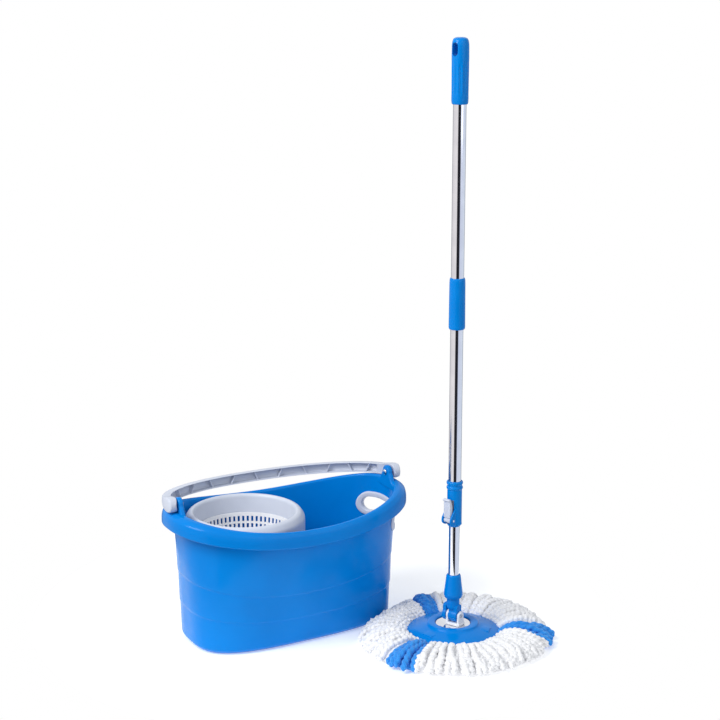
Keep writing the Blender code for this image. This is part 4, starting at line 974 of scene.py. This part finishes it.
# %% Lower sleeve, tubes and middle sleeve
tube_r = outer_radius("inner_tube")
sleeve_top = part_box("lower_sleeve")[1][2]
sleeve_r = outer_radius("lower_sleeve")
bore = tube_r + 0.0002
sleeve = [(bore, neck_top + 0.0004), (neck_r + 0.0003, neck_top + 0.0004),
          (neck_r + 0.0003, neck_top - 0.0035), (sleeve_r - 0.0012, neck_top - 0.0035),
          (sleeve_r - 0.0012, neck_top - 0.0004), (sleeve_r, neck_top + 0.0004),
          (sleeve_r, neck_top + 0.0046), (bore + 0.0044, neck_top + 0.0240),
          (bore + 0.0030, sleeve_top - 0.0024), (bore + 0.0014, sleeve_top), (bore, sleeve_top)]
put("lower_sleeve_fine", turned(filled(rounded(sleeve, 0.0022, 6), 0.004), mop, 128), blue,
    "lower_pole", ["lower_sleeve"], smooth=60.0)


def tube_solid(name):
    """A drawn tube with a turned-in edge at both ends."""
    low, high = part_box(name)
    outer = 0.5 * (high[0] - low[0])
    profile = rounded([(outer, low[2]), (outer, high[2]), (outer - 0.0007, high[2]),
                       (outer - 0.0007, low[2])], 0.0003, 4)
    return turned(filled(profile, 0.05), mop, 96)


for name, body in (("inner_tube", "lower_pole"), ("outer_tube_lower", "handle"),
                   ("outer_tube_upper", "handle")):
    put(name + "_fine", tube_solid(name), steel, body, [name], smooth=40.0)

outer_r = outer_radius("outer_tube_lower")
mid_low, mid_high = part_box("middle_sleeve")
mid_r = 0.5 * (mid_high[0] - mid_low[0])
middle_profile = [(outer_r + 0.0002, mid_low[2]), (mid_r - 0.0008, mid_low[2]),
                  (mid_r, mid_low[2] + 0.0030), (mid_r - 0.0005, mid_high[2] - 0.010),
                  (mid_r - 0.0008, mid_high[2] - 0.0030), (outer_r + 0.0012, mid_high[2]),
                  (outer_r + 0.0002, mid_high[2])]
put("middle_sleeve_fine", turned(filled(rounded(middle_profile, 0.0016, 6), 0.008), mop, 128),
    blue, "handle", ["middle_sleeve"], smooth=60.0)


# %% The grip
def grip_solid(sides=240, flutes=12):
    """r(a, z) = r(z) - depth(z) (1 - cos(flutes a)) / 2; the depth runs out at both ends."""
    low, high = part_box("grip")
    r, bottom, top = 0.5 * (high[0] - low[0]), low[2], high[2]
    profile = [(outer_r + 0.0003, top - 0.046, 0.0), (outer_r + 0.0003, bottom, 0.0),
               (r - 0.0014, bottom, 0.0), (r - 0.0006, bottom + 0.0040, 0.0),
               (r - 0.0004, bottom + 0.0120, 0.0), (r - 0.0003, bottom + 0.0200, 0.0009),
               (r, bottom + 0.0600, 0.0011), (r - 0.0001, bottom + 0.0720, 0.0),
               (r - 0.0004, top - 0.0100, 0.0), (r - 0.0022, top - 0.0020, 0.0),
               (r - 0.0070, top, 0.0)]
    rows = np.concatenate([np.array(profile[:1]), rounded(profile, 0.0050, 7)[7:-7],
                           np.array(profile[-1:])])
    angle = np.linspace(0.0, 2.0 * np.pi, sides, endpoint=False) + handle_yaw
    groove = 0.5 - 0.5 * np.cos(flutes * (angle - handle_yaw))
    radius = rows[:, :1] - rows[:, 2:] * groove
    return capped(np.stack([mop_x + radius * np.cos(angle), mop_y + radius * np.sin(angle),
                            rows[:, 1:2] + 0.0 * angle], axis=-1))


def hang_slot_bar():
    """A long rounded bar through the grip's top, along the latch's direction."""
    low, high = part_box("grip")
    half, top, bottom = 0.0060, high[2] - 0.0075, high[2] - 0.0300
    outline = np.concatenate([circle(0.0, top - half, half, 0.0, 180.0, 20),
                              circle(0.0, bottom + half, half, 180.0, 360.0, 20)])
    levels = np.array([-0.03, 0.03])[:, None]
    c, s = math.cos(handle_yaw), math.sin(handle_yaw)
    across, up = outline[None, :, 0], outline[None, :, 1] + 0.0 * levels
    return capped(np.stack([mop_x + c * levels - s * across, mop_y + s * levels + c * across, up],
                           axis=-1))


grip = put("grip_fine", grip_solid(), blue, "handle", ["grip"], smooth=40.0)
cut(grip, hang_slot_bar(), smooth=40.0)

# %% [markdown]
# ## The latch
# The housing is a sleeve with two beads at its top and an open window.  Two cheeks with round
# noses stand out beside the window and hold the lever's pin; the lever's cam presses on the
# inner tube when it is folded against the pole.

# %% Housing, lever and pin
latch_low, latch_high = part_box("latch_housing")[0][2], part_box("latch_housing")[1][2]
latch_r = outer_r + 0.0018
pin_x = -(tube_r + 0.0041)
pin_z = latch_pin[2]
half_lever, lever_length = 0.0075, 0.0397
cheek_near, cheek_far = half_lever + 0.0004, half_lever + 0.0037
latch_place = in_frame(handle_yaw, mop_x, mop_y, 0.0)
seat_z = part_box("outer_tube_lower")[0][2]


def cheek_solid(low, high):
    """Rounded plate: slanted upper edge, round nose at the pin, chamfered foot."""
    nose, foot = pin_x - 0.0076, latch_low + 0.0034
    outline = rounded([(-0.0040, foot), (nose + 0.0068, foot + 0.0002), (nose + 0.0004, foot
                       + 0.0050), (nose + 0.0004, pin_z + 0.0036), (-0.0040, pin_z + 0.0275)],
                      0.0042, 8)
    return slab(outline, low, high, 0.0007, latch_place, 4)


def housing_solid():
    """Beaded sleeve as one turned surface."""
    slide, seat, r, bead = tube_r + 0.0004, outer_r + 0.0003, latch_r, 0.0014
    bottom, top = latch_low, latch_high
    body = [(slide, bottom), (r - 0.0022, bottom), (r, bottom + 0.0034), (r, top - 0.0146),
            (r + bead, top - 0.0130), (r + bead, top - 0.0104), (r, top - 0.0086),
            (r, top - 0.0066), (r + bead, top - 0.0046), (r + bead, top - 0.0014),
            (r + 0.0002, top), (seat, top), (seat, seat_z - 0.0003), (slide, seat_z - 0.0003)]
    return turned(filled(rounded(body, 0.0012, 6), 0.004), mop, 128)


def window_bar():
    """Box that opens the sleeve for the lever."""
    low, high = latch_low + 0.0050, pin_z + lever_length - 0.0037
    outline = np.array([(-0.040, low), (-0.005, low), (-0.005, high), (-0.040, high)])
    levels = np.array([-cheek_near, cheek_near])[:, None]
    return capped(latch_place(outline[None, :, 0] + 0.0 * levels,
                              outline[None, :, 1] + 0.0 * levels, levels + 0.0 * outline[:, 0]))


housing = put("latch_housing_fine", housing_solid(), blue, "handle", ["latch_housing"], 50.0)
cut(housing, window_bar(), smooth=50.0)
put("latch_cheeks", joined(cheek_solid(-cheek_far, -cheek_near), cheek_solid(cheek_near, cheek_far)),
    blue, "handle", smooth=50.0)


def side_pads():
    """A thin raised pad on each side of the sleeve, cut off along the cheek's slant.

    Points run round the sleeve at r + 0.0009 from the cheek to the far edge, whose angle opens
    as z rises, so the upper border is a straight diagonal.
    """
    low, high = latch_low + 0.0040, pin_z + 0.0270
    rows, steps = 26, 22
    z = np.linspace(low, high, rows)[:, None]
    share = (z - low) / (high - low)
    solids = []
    for side in (-1.0, 1.0):
        start = np.radians(141.0) + 0.0 * z
        stop = np.radians(62.0 + 76.0 * share ** 1.5)
        across = np.concatenate([np.linspace(0.0, 1.0, steps), np.linspace(1.0, 0.0, steps)])
        outer = np.concatenate([np.full(steps, 1.0), np.full(steps, 0.0)])
        outer[[0, steps - 1]] = 0.55
        turn = start + (stop - start) * across
        r = latch_r - 0.0006 + 0.0016 * outer
        points = latch_place(r * np.cos(turn), z + 0.0 * turn, side * r * np.sin(turn))
        solids.append(capped(points))
    return joined(*solids)


put("latch_pads", side_pads(), blue, "handle", smooth=50.0)


def lever_solid():
    """Side view as the outline: cam round the pin, flat face, hooked thumb tab at the top."""
    face, top = 0.0057, lever_length
    cam, belly = -pin_x - tube_r - 0.0004, -pin_x - latch_r + 0.0003
    arch = circle(0.0, 0.0, cam, -90.0, 0.0, 10)
    back = rounded([(cam, 0.10 * top), (belly, 0.30 * top), (belly + 0.0004, 0.60 * top),
                    (belly - 0.0014, 0.78 * top), (belly - 0.0040, 0.92 * top),
                    (-1.6 * face + 0.0050, top), (-1.6 * face, 0.95 * top),
                    (-1.6 * face, 0.91 * top), (-face, 0.86 * top), (-face, 0.10 * top)],
                   0.0024, 7)
    heel = circle(0.0, 0.0, face, 180.0, 225.0, 10)
    outline = np.concatenate([arch, back, heel])

    def place(u, v, w):
        return latch_place(pin_x + u, pin_z + v, w)
    return slab(outline, -half_lever, half_lever, 0.0010, place, 5)


put("latch_lever_fine", lever_solid(), grey, "latch_lever", ["latch_lever"], smooth=50.0)


def pin_solid():
    """A headed pin across the cheeks."""
    half = cheek_far
    profile = rounded([(0.0001, -half - 0.0004), (0.0019, -half - 0.0004), (0.0019, -half),
                       (0.0012, -half), (0.0012, half), (0.0019, half), (0.0019, half + 0.0004),
                       (0.0001, half + 0.0004)], 0.0003, 4)
    points, faces = rod(profile[4:-4], (0.0, 0.0), 40)
    return latch_place(pin_x + points[:, 0], pin_z + points[:, 1], points[:, 2]), faces


put("latch_pin_fine", pin_solid(), steel, "handle", ["latch_pin"], smooth=40.0)

# %% [markdown]
# ## The strands
# The pile is made of single chenille cords, laid out as a fan: each starts under the plate's
# edge, humps over the ones below and comes to rest on the floor.  A cord is a tube whose
# thickness swells and shrinks along it, so a few hundred points are enough for one, and every
# cord of a sector is worked out at once.  Under them lies a plain core, so no gap shows through.
# They are sewn to one ring and packed against each other, so they stay one pile that moves with
# the plate.

# %% Where the pile may reach
strand_inner = plate_r - 0.0045
white_reach = 0.0935
wall_t = np.linspace(0.0, 2.0 * np.pi, 720, endpoint=False)
foot_line = wall_point(wall_t, 0.036)[:, :2] - np.array(mop)
nearest = np.argmin(np.linalg.norm(foot_line, axis=1))
wall_distance = np.linalg.norm(foot_line[nearest])
wall_direction = math.atan2(foot_line[nearest][1], foot_line[nearest][0])


def reach_at(angle, wanted, clear=0.0085):
    """Wanted radius, cut short where the bucket's straight side comes nearer than that."""
    facing = np.cos(angle - wall_direction)
    limit = (wall_distance - clear) / np.maximum(facing, 0.2)
    return np.where(facing > 0.2, np.minimum(wanted, limit), wanted)


def cord_mesh(centers, radius, sides):
    """Tubes round centre lines: points = c + r (cos q side + sin q up), closed by end points.

    centers is (cords, stations, 3) and radius (cords, stations, sides).
    """
    tangent = np.gradient(centers, axis=1)
    tangent /= np.linalg.norm(tangent, axis=2, keepdims=True) + 1e-12
    side = np.cross(tangent, (0.0, 0.0, 1.0))
    side /= np.linalg.norm(side, axis=2, keepdims=True) + 1e-9
    up = np.cross(side, tangent)
    q = np.linspace(0.0, 2.0 * np.pi, sides, endpoint=False)
    points = (centers[:, :, None] + radius[..., None]
              * (np.cos(q)[:, None] * side[:, :, None] + np.sin(q)[:, None] * up[:, :, None]))
    cords, stations = centers.shape[:2]
    index = np.arange(cords * stations * sides).reshape(cords, stations, sides)
    right = np.roll(index, -1, axis=2)
    quads = np.stack([index[:, :-1], right[:, :-1], right[:, 1:], index[:, 1:]], -1)
    first = cords * stations * sides + np.arange(cords)[:, None] + np.zeros(sides, dtype=int)
    last = first + cords
    start_fan = np.stack([right[:, 0], index[:, 0], first], -1).reshape(-1, 3)
    end_fan = np.stack([index[:, -1], right[:, -1], last], -1).reshape(-1, 3)
    tip = 0.7 * radius.mean(axis=2)
    start_tip = centers[:, 0] - tangent[:, 0] * tip[:, :1]
    end_tip = centers[:, -1] + tangent[:, -1] * tip[:, -1:]
    vertices = np.concatenate([points.reshape(-1, 3), start_tip, end_tip])
    return vertices, quads.reshape(-1, 4).tolist() + start_fan.tolist() + end_fan.tolist()


def pile_profile(stations):
    """Shares (along, up) of a cord's side view, evenly spaced along its length.

    It climbs from the plate as a sine to the crest at 0.40 of the reach, then rolls over and
    falls to the floor as a quarter of an oval, |x|^2.4 + |z|^1.7 = 1.
    """
    rise = np.linspace(0.0, 1.0, 60, endpoint=False)
    fall = np.linspace(0.0, 0.5 * np.pi, 140)
    along = np.concatenate([0.40 * rise, 0.40 + 0.60 * np.sin(fall) ** (2.0 / 2.4)])
    up = np.concatenate([0.22 + 0.78 * np.sin(0.5 * np.pi * rise) ** 0.9,
                         np.cos(fall) ** (2.0 / 1.7)])
    length = np.concatenate([[0.0], np.cumsum(np.hypot(np.diff(along) * 0.093,
                                                       np.diff(up) * 0.030))])
    even = np.linspace(0.0, length[-1], stations)
    return np.interp(even, length, along), np.interp(even, length, up)


def fan_lines(rng, angles, starts, reach, height, low, stations=52):
    """Centre lines: the pile's profile at each angle, with a sideways wander and a ripple."""
    count = len(angles)
    along, up = (share[None] for share in pile_profile(stations))
    wander = rng.uniform(-1.0, 1.0, (count, 4))
    swing = (0.035 * wander[:, :1] * np.sin(2.4 * np.pi * along + 6.0 * wander[:, 1:2])
             + 0.055 * wander[:, 2:3] * along ** 2)
    angle = angles[:, None] + swing * along
    end = reach_at(angles, reach) + rng.uniform(-0.0040, 0.0030, count)
    r = starts[:, None] + (end[:, None] - starts[:, None]) * along
    ripple = 0.0016 * np.sin(5.0 * np.pi * along + 9.0 * wander[:, 3:4]) * along
    z = low[:, None] + np.maximum(height[:, None] * up + ripple * up, 0.0)
    return np.stack([mop_x + r * np.cos(angle), mop_y + r * np.sin(angle), z], axis=-1)


def chenille_radius(rng, count, stations, sides, base, lump=0.19):
    """r = base (1 + lump cos(2 pi n u + phase) + small random tufts), thin at both ends."""
    u = np.linspace(0.0, 1.0, stations)[None, :, None]
    phase = rng.uniform(0.0, 2.0 * np.pi, (count, 1, 1))
    beads = rng.uniform(10.0, 12.5, (count, 1, 1))
    tufts = rng.normal(0.0, 0.105, (count, stations, sides))
    ends = np.minimum(1.0, 0.60 + 7.0 * np.minimum(u, 1.0 - u))
    return base * (1.0 + lump * np.cos(2.0 * np.pi * beads * u + phase) + tufts) * ends


# %% White sectors
bunch_half, bunch_first, bunches = math.radians(10.5), math.radians(60.0), 3
bunch_middles = tilt_yaw + bunch_first + 2.0 * np.pi / bunches * np.arange(bunches)


def core_solid(start, end, steps):
    """Plain pile a little under the cords: one closed outline carried through the sector."""
    angles = np.linspace(start, end, steps)
    along, up = pile_profile(24)
    full = reach_at(angles, strand_inner + white_reach - 0.0110, 0.0170)
    share = np.concatenate([[0.0], along, [0.98]])
    z = np.concatenate([[0.0020], 0.0035 + 0.0235 * up, [0.0020]])
    r = strand_inner + share * (full[:, None] - strand_inner)
    c, s = np.cos(angles)[:, None], np.sin(angles)[:, None]
    return capped(np.stack([mop_x + r * c, mop_y + r * s, z + 0.0 * r], axis=-1))


cord_stations, cord_sides, cord_radius = 52, 10, 0.0053


def white_cords(rng, start, end):
    """Three layers, from the floor up: outer reach falls and height grows with the layer."""
    lines, radii = [], []
    for count, reach, height, low in ((17, 0.0910, 0.0135, 0.0056), (17, 0.0890, 0.0190, 0.0066),
                                      (16, 0.0845, 0.0208, 0.0098)):
        pitch = (end - start) / count
        angles = start + pitch * (0.5 + np.arange(count)) + rng.uniform(-0.25, 0.25, count) * pitch
        starts = np.full(count, strand_inner - 0.0005) + rng.uniform(0.0, 0.002, count)
        heights = height * rng.uniform(0.90, 1.08, count)
        reaches = strand_inner + reach * rng.uniform(0.94, 1.0, count)
        lines.append(fan_lines(rng, angles, starts, reaches, heights, np.full(count, low)))
        radii.append(chenille_radius(rng, count, cord_stations, cord_sides, cord_radius))
    return cord_mesh(np.concatenate(lines), np.concatenate(radii), cord_sides)


for k, middle_angle in enumerate(bunch_middles):
    rng = np.random.default_rng(40 + k)
    start, end = middle_angle + bunch_half, middle_angle + 2.0 * np.pi / bunches - bunch_half
    number = k + 1
    put(f"white_cords_{number}", white_cords(rng, start + 0.010, end - 0.010), white_yarn,
        "mop_head", [f"white_strands_{number}"], smooth=180.0)
    put(f"white_core_{number}", core_solid(start - 0.01, end + 0.01, 40), white_yarn, "mop_head",
        smooth=180.0)


# %% Blue bunches
def twisted_radius(count, stations, sides, base, turns, phases):
    """Two-ply rope: r = base (0.74 + 0.34 |cos(q - pi turns u)|), thin at both ends."""
    u = np.linspace(0.0, 1.0, stations)[None, :, None]
    q = np.linspace(0.0, 2.0 * np.pi, sides, endpoint=False)[None, None]
    ply = np.abs(np.cos(q - np.pi * turns * u + phases[:, None, None]))
    ends = np.minimum(1.0, 0.55 + 9.0 * np.minimum(u, 1.0 - u))
    return base * (0.74 + 0.34 * ply) * ends


def blue_cords(rng, middle_angle):
    """Four ropes side by side and one on top, a little longer than the white ones."""
    offsets = np.array([-1.6, -0.55, 0.55, 1.6, 0.05])
    angles = middle_angle + offsets * bunch_half / 2.15
    reach = strand_inner + np.array([0.091, 0.096, 0.095, 0.092, 0.088])
    height = np.array([0.0185, 0.0225, 0.0225, 0.0185, 0.0262])
    stations, sides = 110, 16
    lines = fan_lines(rng, angles, np.full(5, strand_inner - 0.0005), reach, height,
                      np.full(5, 0.0062), stations)
    radii = twisted_radius(5, stations, sides, 0.0056, 9.0, rng.uniform(0.0, 6.0, 5))
    return cord_mesh(lines, radii, sides)


for k, middle_angle in enumerate(bunch_middles):
    rng = np.random.default_rng(70 + k)
    number = k + 1
    put(f"blue_cords_{number}", blue_cords(rng, middle_angle), blue_yarn, "mop_head",
        [f"blue_strands_{number}"], smooth=180.0)
    put(f"blue_core_{number}", core_solid(middle_angle - bunch_half, middle_angle + bunch_half,
                                          10), blue_yarn, "mop_head", smooth=180.0)

# %% [markdown]
# ## The set: floor, light and camera
# The floor and the surroundings are one pale white, with a broad soft light from the upper left.
# Polished tube shows what stands round it, so the surroundings are darker in two narrow bands
# for reflections only, the way black flags are set beside a tabletop set.

# %% Floor
floor_radius, floor_x, floor_y, floor_sides = 0.52, 0.08, 0.03, 128
angle = np.linspace(0.0, 2.0 * np.pi, floor_sides, endpoint=False)
rim = np.stack([floor_x + floor_radius * np.cos(angle), floor_y + floor_radius * np.sin(angle),
                np.zeros(floor_sides)], axis=1)
mesh = bpy.data.meshes.new("floor")
mesh.from_pydata(rim.tolist(), [], [list(range(floor_sides))])
floor = bpy.data.objects.new("floor", mesh)
bpy.context.collection.objects.link(floor)
paper, tree, shader = new_material("floor_paper")
cloud = place_group(tree, pigment, Light=(0.955, 0.958, 0.965, 1), Dark=(0.945, 0.948, 0.957, 1),
                    Scale=3.0)
surface = place_group(tree, skin, Grain=700.0, Smooth=0.16, Dull=0.20)
tree.links.new(cloud.outputs["Color"], shader.inputs["Base Color"])
tree.links.new(surface.outputs["Roughness"], shader.inputs["Roughness"])
tree.links.new(cloud.outputs["Color"], shader.inputs["Emission Color"])
shader.inputs["Emission Strength"].default_value = 0.32
shader.inputs["Specular IOR Level"].default_value = 0.35
mesh.materials.append(paper)

# %% Surroundings
world = bpy.data.worlds.new("studio")
bpy.context.scene.world = world
world.use_nodes = True
tree = world.node_tree
tree.nodes.clear()
aim = node(tree, "ShaderNodeTexCoord").outputs["Generated"]
axes = node(tree, "ShaderNodeSeparateXYZ", {0: aim})
azimuth = node(tree, "ShaderNodeMath", {0: axes.outputs["Y"], 1: axes.outputs["X"]},
               operation="ARCTAN2")
camera_azimuth = math.atan2(-0.891, -0.454)
turned_by = node(tree, "ShaderNodeMath", {0: azimuth.outputs[0]}, operation="SUBTRACT")
turned_by.inputs[1].default_value = camera_azimuth
wrapped = node(tree, "ShaderNodeMath", {0: turned_by.outputs[0]}, operation="WRAP")
wrapped.inputs[1].default_value, wrapped.inputs[2].default_value = math.pi, -math.pi
bands = node(tree, "ShaderNodeValToRGB")
shifted = node(tree, "ShaderNodeMapRange", {0: wrapped.outputs[0]})
shifted.inputs[1].default_value, shifted.inputs[2].default_value = -math.pi, math.pi
tree.links.new(shifted.outputs[0], bands.inputs[0])
stops = [(0.0, (0.10, 0.11, 0.15)), (0.06, (0.16, 0.17, 0.22)), (0.13, (0.80, 0.78, 0.80)),
         (0.30, (0.95, 0.92, 0.93)), (0.415, (0.95, 0.92, 0.93)), (0.440, (0.015, 0.015, 0.02)),
         (0.560, (0.02, 0.02, 0.03)), (0.585, (0.75, 0.82, 1.0)), (0.84, (0.80, 0.88, 1.0)),
         (0.92, (0.20, 0.22, 0.28))]
while len(bands.color_ramp.elements) > 1:
    bands.color_ramp.elements.remove(bands.color_ramp.elements[0])
for at, (position, color) in enumerate(stops):
    stop = bands.color_ramp.elements[0] if at == 0 else bands.color_ramp.elements.new(position)
    stop.position, stop.color = position, (*color, 1)
bands_end, sky_begins, sky = 0.02, 0.10, (0.93, 0.96, 1.0, 1)
above_table = ramp(tree, axes.outputs["Z"], bands_end, sky_begins)
reflected = mixed(tree, above_table, bands.outputs["Color"], sky)
rays = node(tree, "ShaderNodeLightPath")
glossy = node(tree, "ShaderNodeBackground", {"Color": reflected}, Strength=1.0)
plain = node(tree, "ShaderNodeBackground", Color=sky, Strength=0.55)
backdrop = node(tree, "ShaderNodeBackground", Color=(1, 1, 1, 1), Strength=1.0)
lit = node(tree, "ShaderNodeMixShader", {0: rays.outputs["Is Glossy Ray"],
                                         1: plain.outputs[0], 2: glossy.outputs[0]})
seen = node(tree, "ShaderNodeMixShader", {0: rays.outputs["Is Camera Ray"], 1: lit.outputs[0],
                                          2: backdrop.outputs[0]})
node(tree, "ShaderNodeOutputWorld", {"Surface": seen.outputs[0]})


# %% Lights and camera
def area_light(name, at, towards, size, power, color):
    """A square soft light at one point, facing another."""
    lamp = bpy.data.lights.new(name, "AREA")
    lamp.size, lamp.energy, lamp.color = size, power, color
    holder = bpy.data.objects.new(name, lamp)
    bpy.context.collection.objects.link(holder)
    holder.location = at
    aim_at = np.array(towards) - np.array(at)
    holder.rotation_euler = mathutils.Vector(aim_at).to_track_quat("-Z", "Y").to_euler()
    return holder


look = np.array([0.454, 0.891, 0.0])
across = np.array([0.891, -0.454, 0.0])
target = np.array([0.0, 0.0, 0.15])
key_at = target - 1.1 * look - 1.5 * across + np.array([0.0, 0.0, 1.9])
key = area_light("key", key_at, target, size=1.3, power=56.0, color=(1.0, 0.99, 0.97))
fill_at = target - 1.6 * look + 1.6 * across + np.array([0.0, 0.0, 1.2])
fill = area_light("fill", fill_at, target, size=1.8, power=8.0, color=(0.95, 0.97, 1.0))
camera_data = bpy.data.cameras.new("camera")
lens_mm, sensor_mm, camera_place = 90.0, 36.0, (-1.2585, -2.757, 1.2475)
camera_data.lens, camera_data.sensor_width = lens_mm, sensor_mm
camera = bpy.data.objects.new("camera", camera_data)
bpy.context.collection.objects.link(camera)
camera.location = camera_place
pitch_down = 0.245
aim_at = (math.cos(pitch_down) * look[0], math.cos(pitch_down) * look[1], -math.sin(pitch_down))
camera.rotation_euler = mathutils.Vector(aim_at).to_track_quat("-Z", "Y").to_euler()
bpy.context.scene.camera = camera
bpy.context.scene.view_settings.view_transform = "Standard"
